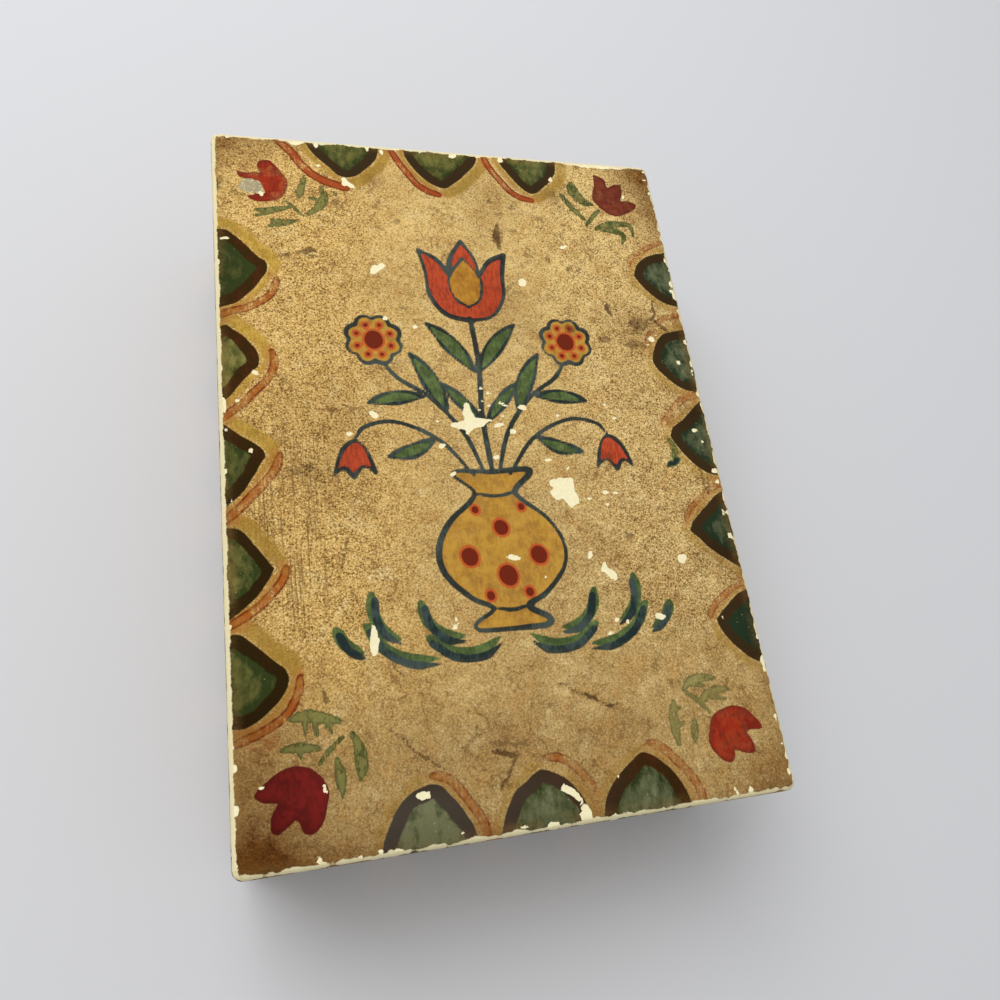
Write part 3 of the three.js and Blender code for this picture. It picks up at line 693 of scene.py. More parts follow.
# Grime on the lid: x, y, two radii and how dark
LID_GRIME = (
    (50, 62, 7, 12, 0.7), (46, 70, 8, 5, 0.5), (-47, 70, 9, 6, 0.6), (-50, -72, 13, 10, 1),
    (50, -72, 10, 8, 0.55), (-46, -54, 8, 9, 0.45), (50, -46, 4, 12, 0.2), (50, 30, 4, 8, 0.3),
    (-30, -74, 22, 6, 0.35), (0, -70, 40, 7, 0.25), (8, 30, 9, 9, 0.25), (8, 54, 5, 9, 0.2),
    (-30, 4, 9, 14, 0.2), (-50, 30, 4, 30, 0.25), (38, 27, 7, 6, 0.35), (45, -26, 5, 4, 0.3),
    (46, 6, 4, 4, 0.25), (-34, -6, 5, 4, 0.25), (-14, 36, 9, 7, 0.15), (14, -57, 12, 6, 0.2),
    (-6, -56, 9, 5, 0.2), (4, 62, 22, 5, 0.15), (-22, -57, 13, 7, 0.22), (-17, 62, 2.5, 2, 0.4),
    (24, 61, 2.5, 2.5, 0.4),
)

# How far paint is worn off the lid's edges: left, right, front and back
WORN_EDGES = (0.56, 0.42, 0.46, 0.85)

# Flakes along the lid's edges: how many, the share on each, in the same order, and how far in they reach
EDGE_FLECKS = 270
EDGE_SHARES = (0.18, 0.28, 0.18, 0.36)
EDGE_FLECK_DEPTH = 1.5
EDGE_FLECK_INSET = 0.2

FLAKE_CORNERS = 9


def flake(x, y, across, along, turn=0):
    """A jagged oval; the seed for the reach of its corners comes from its place."""
    rng = np.random.default_rng(int(abs(x * 131 + y * 17) * 10))
    angles = np.linspace(0, 2 * math.pi, FLAKE_CORNERS, endpoint=False)
    angles += rng.uniform(-0.25, 0.25, FLAKE_CORNERS)
    reach = rng.uniform(0.72, 1.25, FLAKE_CORNERS)
    u, v = across * reach * np.cos(angles), along * reach * np.sin(angles)
    turn = math.radians(turn)
    return np.column_stack([
        x + u * math.cos(turn) - v * math.sin(turn),
        y + u * math.sin(turn) + v * math.cos(turn),
    ])


def darkening(u, v, spots):
    """Soft dark patches: bell curves, added up."""
    dark = np.zeros(u.shape)
    for x, y, across, along, depth in spots:
        dark += depth * np.exp(-((u - x) / across) ** 2 - ((v - y) / along) ** 2)
    return np.minimum(dark, 1.2)


def paint_lid(canvas, edge_x, edge_y):
    """The whole painting of the lid, and the damage to it."""
    paint_scallops(canvas, edge_x, edge_y)
    paint_corners(canvas)
    paint_bouquet(canvas)
    paint_vase(canvas)
    paint_tulip(canvas)
    for patch in LID_PATCHES:
        canvas.fill("chip", patch)
    for chip in LID_CHIPS:
        canvas.fill("chip", flake(*chip))
    for mark in LID_STAINS:
        canvas.spot("stain", *mark)
    for crack in LID_CRACKS:
        canvas.stroke("crack", crack)


# Meshes

def spaced(stops, step):
    """Lines through every stop, evenly spaced between two stops and at most a step apart."""
    runs = []
    for start, end in zip(stops, stops[1:]):
        count = max(1, math.ceil((end - start) / step - 1e-6))
        runs.append(np.linspace(start, end, count + 1)[:-1])
    return np.concatenate(runs + [[stops[-1]]])


def wavy(u, v, size, seed):
    """A smooth uneven field between about -1 and 1: sine waves in eight seeded directions, added up."""
    rng = np.random.default_rng(seed)
    turns = rng.uniform(0, 2 * math.pi, 8)
    lengths = size * rng.uniform(0.7, 1.6, 8)
    starts = rng.uniform(0, 2 * math.pi, 8)
    waves = [np.sin(2 * math.pi * (u * math.cos(a) + v * math.sin(a)) / s + p)
             for a, s, p in zip(turns, lengths, starts)]
    return np.sum(waves, 0) / 3.2


def grid_faces(rows, columns, wrap=False):
    """Four-sided faces over a grid of points, facing up when rows run along X and columns along Y."""
    index = np.arange(rows * columns).reshape(rows, columns)
    if wrap:
        index = np.vstack([index, index[:1]])
    return np.stack([index[:-1, :-1], index[1:, :-1], index[1:, 1:], index[:-1, 1:]], -1).reshape(-1, 4)


def border(rows, columns):
    """The points round the rim of a grid, against the clock."""
    index = np.arange(rows * columns).reshape(rows, columns)
    return np.concatenate([index[:-1, 0], index[-1, :-1], index[:0:-1, -1], index[0, :0:-1]])


def make_piece(name, points, faces, material, body, fields):
    """A finished piece at the origin: points in mm, faces as lists of corners, and a number per point for
    each named field."""
    mesh = bpy.data.meshes.new(name)
    mesh.from_pydata((points * MM).tolist(), [], faces)
    mesh.polygons.foreach_set("use_smooth", np.ones(len(mesh.polygons), bool))
    mesh.set_sharp_from_angle(angle=math.radians(SHARP_ANGLE))
    for field, values in fields.items():
        attribute = mesh.attributes.new(field, "FLOAT", "POINT")
        attribute.data.foreach_set("value", values.astype(np.float32).ravel())
    mesh.materials.append(material)
    piece = bpy.data.objects.new(name, mesh)
    bpy.context.scene.collection.objects.link(piece)
    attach(piece, body)
    return piece


def bevel_cut(y):
    """How much the back bevel takes off a side's height at y: nothing up to its start, then its slope."""
    return np.maximum(0, y - BEVEL_START) * BEVEL_SLOPE


def lid_place(p, q, proud):
    """Where a point of the lid's skin is, a little outside the board.

    p and q run over a flat sheet that is wrapped over the lid. Inside the core the point stays above its
    place. Past the core, the larger of the two overhangs is a distance along the profile: flat, then a
    quarter circle, then straight down to the lower edge. In a corner the square of overhangs becomes a fan.
    Returns x, y, z, the rolled-out x and y, and the distance to the nearest worn edge.
    """
    over_x = np.maximum(np.abs(p) - CORE_X, 0)
    over_y = np.maximum(np.abs(q) - CORE_Y, 0)
    over = np.maximum(over_x, over_y)
    length = np.maximum(np.hypot(over_x, over_y), 1e-9)
    out_x = np.sign(p) * over_x / length
    out_y = np.sign(q) * over_y / length
    arc = np.clip(over - FLAT, 0, ARRIS_LENGTH) / ARRIS_RADIUS
    drop = np.maximum(over - FLAT - ARRIS_LENGTH, 0)
    radius = ARRIS_RADIUS + proud
    reach = np.minimum(over, FLAT) + radius * np.sin(arc)
    x = np.clip(p, -CORE_X, CORE_X) + out_x * reach
    y = np.clip(q, -CORE_Y, CORE_Y) + out_y * reach
    full = LID_TOP - ARRIS_RADIUS - LID_BOTTOM - LID_SKIRT_END
    share = (full - bevel_cut(y)) / full
    z = LID_TOP - ARRIS_RADIUS + radius * np.cos(arc) - drop * share
    z = np.where(over > 0, z, LID_TOP + proud)
    u = np.clip(p, -CORE_X, CORE_X) + out_x * over
    v = np.clip(q, -CORE_Y, CORE_Y) + out_y * over
    worn = np.abs(over - FLAT - ARRIS_LENGTH / 2)
    inner = np.minimum(HALF_WIDTH - np.abs(p), HALF_LENGTH - np.abs(q))
    edge = np.where(over > FLAT, np.minimum(worn, np.maximum(full - drop, 0) + 0.2), inner)
    return x, y, z, u, v, edge


def edge_flecks(canvas, count, half_x, half_y):
    """Small seeded flakes along the four edges, at most a little way in from each."""
    rng = np.random.default_rng(SEED)
    along = rng.uniform(-1, 1, count)
    depth = rng.uniform(-0.5, 1, count) ** 3 * EDGE_FLECK_DEPTH
    radii = rng.uniform(0.2, 0.55, (count, 2)) * (1 + 0.9 * rng.random((count, 1)) ** 3)
    sides = rng.choice(4, count, p=EDGE_SHARES)
    for t, d, (a, b), side in zip(along, depth, radii, sides):
        sign = 1 if side % 2 else -1
        if side < 2:
            canvas.fill("chip", flake(sign * (half_x - d), t * half_y, a, 1.4 * b, 10 * t))
        else:
            canvas.fill("chip", flake(t * half_x, sign * (half_y - d), 1.4 * a, b, 10 * t))


def wear(u, v, edge):
    """How far inside the bare rim a point of the lid lies: the reach of the wear on its side, uneven along
    it, less its distance from the edge."""
    left, right, front, back = WORN_EDGES
    on_side = HALF_WIDTH - np.abs(u) < HALF_LENGTH - np.abs(v)
    reach = np.where(on_side, np.where(u < 0, left, right), np.where(v < 0, front, back))
    uneven = np.where(on_side & (u < 0), 0.08, 0.22)
    return reach + uneven * wavy(u, v, 4.5, SEED + 11) + 0.6 * uneven * wavy(u, v, 1.6, SEED + 12) - edge


def relief(canvas, bare, seed):
    """How far the paint stands off the board: brushed layers swell it, chips and worn edges thin it."""
    u, v = canvas.u, canvas.v
    layers = canvas.layers
    ragged = 0.18 * wavy(u, v, 1.3, seed) + 0.1 * wavy(u, v, 0.6, seed + 1)
    chipped = np.clip((layers["chip"] + ragged) / 0.3 + 0.5, 0, 1)
    scallop = layers["scallop"]
    thick = np.clip(scallop / 0.5 + 0.5, 0, 1) * np.clip((BAND_WIDTH - scallop) / 0.5, 0, 1)
    thick = np.maximum(thick, np.clip(layers["line"] / 0.4 + 0.5, 0, 1))
    thick = np.maximum(thick, 0.6 * np.clip(layers["bloom"] / 0.4 + 0.5, 0, 1))
    body = 0.5 + 0.12 * wavy(u, v, 9, seed + 3) + 0.3 * thick
    return PAINT_BASE + (PAINT_DEPTH - PAINT_BASE) * np.clip(body - chipped - np.clip(bare + 0.4, 0, 1), 0, 1)


def lid_lines(core, arris_end, end):
    """Grid lines over the lid in one direction: even ones over the core, then closer ones round the arris and
    wider ones down the side."""
    arris = np.linspace(FLAT, arris_end, ARRIS_STEPS + 1)
    past = np.concatenate([arris, spaced([arris_end, end], SIDE_STEP)[1:]])
    return np.concatenate([-(core + past)[::-1], spaced([-core, core], GRID_STEP), core + past])


def lid_skin(material):
    """The painted skin over the lid's top, arris and sides: one sheet, closed underneath by a few rings that
    follow its rim back up and by a flat face on top of the board."""
    arris_end = FLAT + ARRIS_LENGTH
    end = arris_end + LID_TOP - ARRIS_RADIUS - LID_BOTTOM - LID_SKIRT_END
    lines = [lid_lines(core, arris_end, end) for core in (CORE_X, CORE_Y)]
    p, q = np.meshgrid(*lines, indexing="ij")
    rows, columns = p.shape
    *_, u, v, edge = lid_place(p, q, PAINT_BASE)
    canvas = Canvas(u, v)
    paint_lid(canvas, HALF_WIDTH, HALF_LENGTH)
    edge_flecks(canvas, EDGE_FLECKS, HALF_WIDTH - EDGE_FLECK_INSET, HALF_LENGTH - EDGE_FLECK_INSET)
    bare = wear(u, v, edge)
    x, y, z, *_ = lid_place(p, q, relief(canvas, bare, SEED))
    outer = np.stack([x, y, z], -1).reshape(-1, 3)

    rim = border(rows, columns)
    rim_p, rim_q = p.ravel()[rim], q.ravel()[rim]
    base_p, base_q = np.clip(rim_p, -CORE_X, CORE_X), np.clip(rim_q, -CORE_Y, CORE_Y)
    shares = np.array([end, arris_end, FLAT + ARRIS_RADIUS, FLAT + ARRIS_RADIUS / 2, FLAT]) / end
    rings = []
    for share in shares:
        ring = lid_place(base_p + (rim_p - base_p) * share, base_q + (rim_q - base_q) * share, SKIN_GAP)
        rings.append(np.stack(ring[:3], -1))
    count = len(rim)
    below = len(outer) + np.arange(count * len(rings)).reshape(-1, count)
    chain = np.vstack([rim, below])
    after = np.roll(chain, -1, 1)
    walls = np.stack([after[:-1], chain[:-1], chain[1:], after[1:]], -1).reshape(-1, 4)
    faces = np.vstack([grid_faces(rows, columns), walls]).tolist() + [chain[-1][::-1].tolist()]

    fields = dict(canvas.layers, pale=canvas.pale, edge=edge, wear=bare, darkening=darkening(u, v, LID_GRIME))
    hidden = np.full(count * len(rings), FAR)
    fields = {name: np.append(field.ravel(), hidden) for name, field in fields.items()}
    points = np.vstack([outer] + rings)
    make_piece("lid_paint", points, faces, material, "lid", fields)


# Case painting: scallops that stand on the lower edge, guessed from the lid. The shape is half a scallop:
# place from its middle, and height
CASE_SCALLOP_PITCH = 21.0
CASE_SCALLOP_MARGIN = 8
CASE_SCALLOP_HALF = ((8.5, 0), (7.8, 1.9), (6.4, 3.9), (4.4, 6), (2.3, 7.7), (0.9, 8.6))
CASE_SCALLOP_TOP = 8.9
CASE_STROKE = ((0.4, 12), (3.4, 11.1), (6.4, 9), (8.6, 6.1), (10.1, 3), (10.5, 0))

# The sides of the case: which way each looks, and its length
CASE_SIDES = ((0, -1, 100), (1, 0, 144), (0, 1, 100), (-1, 0, 144))

CASE_RIM_FLECKS = 260
CASE_FLECKS = 70
# How far from the foot and from the corners the case is darkened
DARKENING_REACH = 5

# Height from which the skin's lines are squeezed to fit under the back bevel
CASE_BAND_TOP = 27.5


def brad_lines(place):
    """The middle of a brad, and two lines to each side of it."""
    return [place + k * BRAD_CELL for k in (-2, -1, 0, 1, 2)]


def case_path():
    """The case's outline from above, against the clock from the left end of the front: four sides and four
    round corners. Returns x and y, the outward direction, distance along the path and distance to the nearest
    corner."""
    brads = brad_lines(BRAD_X)
    across = spaced([-b for b in brads[::-1]] + brads, CASE_STEP)
    across = np.concatenate([[-CORE_X], across[(across > -CORE_X) & (across < CORE_X)], [CORE_X]])
    upright = spaced([-CORE_Y, 0, CORE_Y], CASE_STEP)
    turn = np.linspace(0, 1, 6)[1:-1]
    parts = []
    corners = ((CORE_X, -CORE_Y, -90), (CORE_X, CORE_Y, 0), (-CORE_X, CORE_Y, 90), (-CORE_X, -CORE_Y, 180))
    for (cx, cy, angle), side in zip(corners, (across, upright, -across, -upright)):
        out = math.radians(angle)
        line_x = side if angle in (-90, 90) else np.full(len(side), cx)
        line_y = side if angle in (0, 180) else np.full(len(side), cy)
        facing = np.full((len(side), 2), (math.cos(out), math.sin(out)))
        parts.append(np.column_stack([line_x, line_y, facing]))
        bow = out + turn * math.pi / 2
        parts.append(np.column_stack([np.full((len(turn), 2), (cx, cy)), np.cos(bow), np.sin(bow)]))
    rows = np.vstack(parts)
    out = rows[:, 2:]
    place = rows[:, :2] + CORNER_RADIUS * out
    steps = np.linalg.norm(np.roll(place, -1, 0) - place, axis=1)
    along = np.concatenate([[0], np.cumsum(steps)[:-1]])
    corner = np.maximum(HALF_WIDTH - np.abs(place[:, 0]), HALF_LENGTH - np.abs(place[:, 1]))
    return place, out, along, corner


def round_holes(x, y, z):
    """Draws the square cells round each brad into a circle: a point's distance by the square's measure
    becomes its true distance, fading out over one cell. Returns x, z and the points at holes' middles."""
    hole = np.zeros(x.shape, bool)
    on_face = np.abs(y) > HALF_LENGTH - 0.01
    for side_x in (-BRAD_X, BRAD_X):
        for height in BRAD_HEIGHTS:
            dx, dz = x - side_x, z - height
            ring = np.maximum(np.abs(dx), np.abs(dz))
            near = on_face & (ring < 2.01 * BRAD_CELL) & (ring > 1e-6)
            blend = np.clip((2 * BRAD_CELL - ring) / BRAD_CELL, 0, 1)
            circle = ring / np.maximum(np.hypot(dx, dz), 1e-9) * (BRAD_HOLE / BRAD_CELL)
            pull = np.where(near, 1 + blend * (circle - 1), 1)
            hole |= on_face & (ring < 1e-6)
            x = np.where(near, side_x + dx * pull, x)
            z = np.where(near, height + dz * pull, z)
    return x, z, hole


def paint_case(canvas, out, along):
    """Draws standing scallops along the foot of each side, evenly spaced about its middle, and the wear."""
    half = np.array(CASE_SCALLOP_HALF)
    shape = np.vstack([half * (-1, 1), [(0, CASE_SCALLOP_TOP)], half[::-1]])
    for side_x, side_y, length in CASE_SIDES:
        facing = (out @ (side_x, side_y)) > 0.999
        middle = (along[facing].min() + along[facing].max()) / 2
        count = int((length - CASE_SCALLOP_MARGIN) // CASE_SCALLOP_PITCH)
        for i in range(count):
            at = middle + (i - (count - 1) / 2) * CASE_SCALLOP_PITCH
            skew = (1 + 0.05 * math.sin(5 * i + side_y), 1 + 0.06 * math.cos(7 * i + side_x))
            pale = 0.4 + 0.25 * math.sin(3 * i)
            paint_scallop(canvas, shape * skew + (at, 0), pale, HALO_NARROW, lambda rows: rows)
            canvas.stroke("orange", brush(np.array(CASE_STROKE) * skew + (at, 0), 0.75, 0.4, 0.6))
    rng = np.random.default_rng(SEED + 20)
    total = along[-1]
    for _ in range(CASE_RIM_FLECKS):
        low = rng.random() < 0.5
        height = abs(rng.normal(0, 0.55)) if low else CASE_SKIN_HIGH - abs(rng.normal(0, 0.5))
        at = rng.uniform(0, total)
        canvas.fill("chip", flake(at, height, rng.uniform(0.3, 1.1), rng.uniform(0.25, 0.7)))
    for _ in range(CASE_FLECKS):
        radii = rng.uniform(0.25, 0.7, 2)
        canvas.fill("chip", flake(rng.uniform(0, total), rng.uniform(1, 30), *radii))


def case_skin(material):
    """The painted skin round the case: a path carried up its height, open round each brad, and given its
    thickness inwards by a Solidify modifier."""
    place, out, along, corner = case_path()
    stops = [CASE_SKIN_LOW, CASE_SKIN_HIGH, CASE_BAND_TOP]
    for height in BRAD_HEIGHTS:
        stops += brad_lines(height)
    heights = spaced(sorted(stops), CASE_STEP)
    u, z = np.meshgrid(along, heights, indexing="ij")
    x = np.repeat(place[:, :1], len(heights), 1)
    y = np.repeat(place[:, 1:], len(heights), 1)
    x, z, hole = round_holes(x, y, z)
    top = RIM - 0.1 - bevel_cut(y)
    over = z - CASE_BAND_TOP
    squeezed = CASE_BAND_TOP + over * (top - CASE_BAND_TOP) / (CASE_SKIN_HIGH - CASE_BAND_TOP)
    z = np.where(over > 0, squeezed, z)

    canvas = Canvas(u, z)
    paint_case(canvas, out, along)
    edge = np.minimum(np.clip(np.minimum(z, top - z), 0, 99), corner[:, None] + 0.1)
    bare = 0.5 + 0.25 * wavy(u, z, 4.5, SEED + 31) + 0.15 * wavy(u, z, 1.6, SEED + 32) - edge
    off = relief(canvas, bare, SEED + 5)
    points = np.stack([x + out[:, :1] * off, y + out[:, 1:] * off, z], -1).reshape(-1, 3)
    # The case is darker towards its foot and towards its corners
    low, cornered = np.exp(-(z / DARKENING_REACH) ** 2), np.exp(-(corner[:, None] / DARKENING_REACH) ** 2)
    dark = 0.5 * low + 0.45 * cornered + 0.12 * wavy(u, z, 30, 3)

    faces = grid_faces(*u.shape, wrap=True)
    faces = faces[~hole.ravel()[faces].any(1)]
    used = np.zeros(u.size, bool)
    used[faces] = True
    faces = (np.cumsum(used) - 1)[faces]
    fields = dict(canvas.layers, pale=canvas.pale, edge=edge, wear=bare, darkening=np.clip(dark, 0, 1))
    fields = {name: field.ravel()[used] for name, field in fields.items()}
    piece = make_piece("case_paint", points[used], faces.tolist(), material, "case", fields)
    shell = piece.modifiers.new("thickness", "SOLIDIFY")
    shell.thickness = (PAINT_BASE - SKIN_GAP) * MM
    shell.offset = -1


# Materials

def tone(red, green, blue):
    """A colour written as sRGB levels from 0 to 255, as the linear numbers that shaders take."""
    levels = np.array([red, green, blue]) / 255
    linear = np.where(levels <= 0.04045, levels / 12.92, ((levels + 0.055) / 1.055) ** 2.4)
    return (*linear.tolist(), 1.0)


class Field:
    """A number or colour that varies over a surface. Arithmetic on numbers adds Math nodes."""

    def __init__(self, finish, socket):
        self.finish = finish
        self.socket = socket

    def __add__(self, other):
        return self.finish.maths("ADD", self, other)

    def __sub__(self, other):
        return self.finish.maths("SUBTRACT", self, other)

    def __rsub__(self, other):
        return self.finish.maths("SUBTRACT", other, self)

    def __mul__(self, other):
        return self.finish.maths("MULTIPLY", self, other)

    __radd__ = __add__
    __rmul__ = __mul__


class Finish:
    """A material in the making, on object coordinates in millimetres."""

    def __init__(self, name, roughness, metallic=0.0, specular=0.5):
        self.material = bpy.data.materials.new(name)
        self.material.use_nodes = True
        self.nodes = self.material.node_tree.nodes
        self.links = self.material.node_tree.links
        self.shader = self.nodes["Principled BSDF"]
        self.shader.inputs["Roughness"].default_value = roughness
        self.shader.inputs["Metallic"].default_value = metallic
        self.shader.inputs["Specular IOR Level"].default_value = specular
        metres = self.node("ShaderNodeTexCoord", output="Object")
        self.place = self.node("ShaderNodeVectorMath", {"operation": "SCALE"}, {0: metres, "Scale": 1 / MM})

    def node(self, kind, settings=None, sockets=None, output=0):
        """Adds a node: its settings first, then what each socket holds or is linked to."""
        made = self.nodes.new(kind)
        for name, value in (settings or {}).items():
            setattr(made, name, value)
        for name, value in (sockets or {}).items():
            self.feed(made.inputs[name], value)
        return Field(self, made.outputs[output])

    def feed(self, socket, value):
        """Links a field to a socket, or writes a plain value there."""
        if isinstance(value, Field):
            self.links.new(value.socket, socket)
        else:
            socket.default_value = value

    def axis(self, name):
        """A place's X, Y or Z in mm."""
        return self.node("ShaderNodeSeparateXYZ", {}, {0: self.place}, name)

    def set(self, name, value):
        """Feeds a socket of the shader."""
        self.feed(self.shader.inputs[name], value)

    def maths(self, operation, a, b):
        return self.node("ShaderNodeMath", {"operation": operation}, {0: a, 1: b})

    def larger(self, a, b):
        return self.maths("MAXIMUM", a, b)

    def smaller(self, a, b):
        return self.maths("MINIMUM", a, b)

    def mix(self, share, a, b):
        """The first colour where share is 0 and the second where it is 1."""
        return self.node("ShaderNodeMix", {"data_type": "RGBA"}, {0: share, 6: a, 7: b}, 2)

    def darken(self, share, a, b):
        """Multiplies the first colour by the second where share is 1."""
        settings = {"data_type": "RGBA", "blend_type": "MULTIPLY"}
        return self.node("ShaderNodeMix", settings, {0: share, 6: a, 7: b}, 2)

    def rise(self, value, start, end):
        """0 below start, 1 above end and smooth between them. Start may be the larger one."""
        settings = {"interpolation_type": "SMOOTHSTEP"}
        sockets = {"Value": value, "From Min": start, "From Max": end, "To Min": 0.0, "To Max": 1.0}
        if start > end:
            sockets.update({"From Min": end, "From Max": start, "To Min": 1.0, "To Max": 0.0})
        return self.node("ShaderNodeMapRange", settings, sockets)

    def spread(self, place, scale, shift):
        """A vector times a scale along each axis, plus a shift."""
        sockets = {0: place, 1: scale, 2: shift}
        return self.node("ShaderNodeVectorMath", {"operation": "MULTIPLY_ADD"}, sockets)

    def noise(self, size, detail=2.0, rough=0.5, stretch=(1, 1, 1), shift=0.0, twist=0.0):
        """Uneven values about 0.5, in lumps of the given size in mm, drawn out by stretch along each axis."""
        scale = tuple(1 / (size * s) for s in stretch)
        place = self.spread(self.place, scale, (shift, 2 * shift, 3 * shift))
        sockets = {"Vector": place, "Scale": 1.0, "Detail": detail, "Roughness": rough, "Distortion": twist}
        return self.node("ShaderNodeTexNoise", {}, sockets)

    def cells(self, size, twist):
        """Distance to the walls of uneven cells of a size in mm, as a share of it, with bent walls."""
        sockets = {"Vector": self.place, "Scale": 2.4 / size, "Detail": 3.0}
        bend = self.node("ShaderNodeTexNoise", {}, sockets, 1)
        bend = self.spread(bend, (twist,) * 3, (0, 0, 0))
        place = self.spread(self.place, (1 / size,) * 3, bend)
        sockets = {"Vector": place, "Scale": 1.0}
        return self.node("ShaderNodeTexVoronoi", {"feature": "DISTANCE_TO_EDGE"}, sockets)

    def layer(self, name):
        """The field that a mesh carries under this name."""
        return self.node("ShaderNodeAttribute", {"attribute_name": name}, output="Fac")

    def bump(self, height, depth):
        """Bumps of a depth in mm from a field between 0 and 1."""
        return self.node("ShaderNodeBump", {}, {"Strength": 1.0, "Distance": depth * MM, "Height": height})


# Colours of the painting
# The ground at the back and at the front: the difference between them is painted light and shade
GROUND_LIT_BACK = tone(219, 187, 119)
GROUND_LEFT = tone(211, 169, 88)
GROUND_SHADED_FRONT = tone(182, 153, 97)
GROUND_TAN = tone(190, 146, 82)
GROUND_BROWN = tone(160, 122, 66)
GROUND_LIGHT = tone(224, 198, 138)
GRAIN_LIGHT = tone(242, 216, 156)
SPECKLE = tone(106, 74, 36)
BLOT = tone(96, 66, 34)
CRACK = tone(112, 78, 40)
CREAM = tone(233, 217, 168)
GESSO = tone(241, 233, 194)
RIM_GREYING = tone(232, 229, 222)
DIRT = tone(118, 88, 46)
DARK_DIRT = tone(80, 54, 28)
DARKENING_TONE = tone(136, 102, 66)
OCHRE_HALO = tone(156, 122, 34)
OCHRE_PALE = tone(190, 152, 60)
OCHRE_DARK = tone(138, 104, 36)
RUSTY = tone(160, 94, 46)
ORANGE = tone(154, 82, 24)
ORANGE_STAIN = tone(166, 108, 44)
ORANGE_BACK = tone(154, 62, 24)
ORANGE_EDGE = tone(108, 34, 10)
BAND = tone(50, 32, 2)
BAND_RED = tone(72, 34, 10)
BAND_LOW = tone(35, 25, 2)
BAND_DUN = tone(53, 41, 23)
# A pale slate grey that the dark bands take at the front left: a painted sheen
BAND_SHEEN = tone(74, 66, 57)
SCALLOP_OLIVE = tone(46, 56, 22)
SCALLOP_TEAL = tone(34, 48, 30)
SCALLOP_PALE = tone(128, 122, 64)
SCALLOP_GREY = tone(118, 122, 88)
TULIP_RED = tone(150, 42, 20)
TULIP_CRIMSON = tone(122, 30, 28)
TULIP_FADED = tone(120, 56, 36)
TULIP_DEEP = tone(84, 24, 22)
LEAF_GREEN = tone(60, 72, 32)
LEAF_PALE = tone(120, 119, 65)
LEAF_EDGE = tone(46, 60, 30)
VASE_OCHRE = tone(186, 140, 50)
VASE_DEEP = tone(150, 104, 38)
PETAL = tone(184, 64, 36)
PETAL_DEEP = tone(136, 40, 28)
BOTTLE = tone(36, 68, 36)
BOTTLE_PALE = tone(84, 110, 62)
SPOT_BROWN = tone(100, 32, 18)
INK = tone(30, 42, 42)
INK_SLATE = tone(62, 74, 70)
BARE_GREY = tone(158, 148, 116)


def painted_finish():
    """Thin worn hand paint over cream gesso, from the layers that a skin carries."""
    f = Finish("hand_paint", roughness=0.55, specular=0.03)
    wander = 0.7 * (f.noise(2.2, 3.0) - 0.5) + 0.35 * (f.noise(0.6, 2.0, shift=3.1) - 0.5)
    streaks = f.noise(0.5, 3.0, 0.6, stretch=(1, 4, 4), shift=1.7)
    cloud = f.noise(9.0, 4.0, 0.6)
    mottle = f.noise(2.4, 4.0, 0.65, shift=5.3)
    grain = f.noise(0.5, 2.0, 0.6, shift=8.1)
    fine = f.noise(0.24, 1.0, 0.5, shift=11.3)
    edge = f.layer("edge")

    colour = ground(f, cloud, mottle, grain, fine)
    colour, band = painted_border(f, colour, wander, streaks, cloud, mottle, grain)
    colour = painted_corners(f, colour, wander, streaks, mottle, grain)
    colour, line = painted_middle(f, colour, wander, streaks, cloud, mottle, fine)

    # Dirt and damage
    stain = f.rise(f.layer("stain") + (grain - 0.5) * 1.9 + (mottle - 0.5) * 0.9, -0.15, 0.3)
    stain = stain * f.rise(f.layer("stain"), -1.0, -0.1)
    colour = f.mix(stain * (0.2 + 0.6 * mottle), colour, DARK_DIRT)
    crack = f.rise(f.layer("crack") + wander * 0.6 + (grain - 0.5) * 1.1, -0.34, 0.04)
    colour = f.mix(crack * (0.35 + 0.8 * mottle), colour, DARK_DIRT)
    # Darkening that each skin carries: the lid's grime patches, and the case darker towards its foot and
    # corners
    dark = f.layer("darkening") * (0.45 + 0.7 * mottle + 0.5 * grain)
    colour = f.darken(f.smaller(dark, 1.0), colour, DARKENING_TONE)
    grey = f.mix(f.rise(grain + fine * 0.6, 0.86, 0.96) * 0.8, BARE_GREY, CREAM)
    bare = f.rise(f.layer("bare") + wander * 0.6 + (grain - 0.5) * 0.5, -0.1, 0.1)
    colour = f.mix(bare * 0.95, colour, grey)
    rim_dirt = f.rise(edge, 3.0, 1.0) * f.rise(cloud + grain * 0.4, 0.5, 0.9)
    colour = f.mix(rim_dirt * 0.42, colour, DIRT)
    chip = f.rise(f.layer("chip") + wander * 0.4 + (grain - 0.5) * 0.5, -0.05, 0.05)
    worn = f.rise(f.layer("wear") + (mottle - 0.5) * 0.7 + (grain - 0.5) * 0.4, -0.1, 0.12)
    bared = f.larger(chip, worn)
    cream = f.mix(f.rise(grain + mottle * 0.4, 0.6, 0.85) * 0.5, GESSO, CREAM)
    # The worn rims are greyed a little
    cream = f.darken(worn * 0.8, cream, RIM_GREYING)
    colour = f.mix(bared * 0.96, colour, cream)

    f.set("Base Color", colour)
    f.set("Roughness", 0.5 + 0.12 * mottle + 0.2 * bared)
    height = grain * 0.5 + fine * 0.3 - bared * 0.8 + f.rise(line + band, 0.0, 1.0) * 0.25
    f.set("Normal", f.bump(height, 0.035))
    return f.material


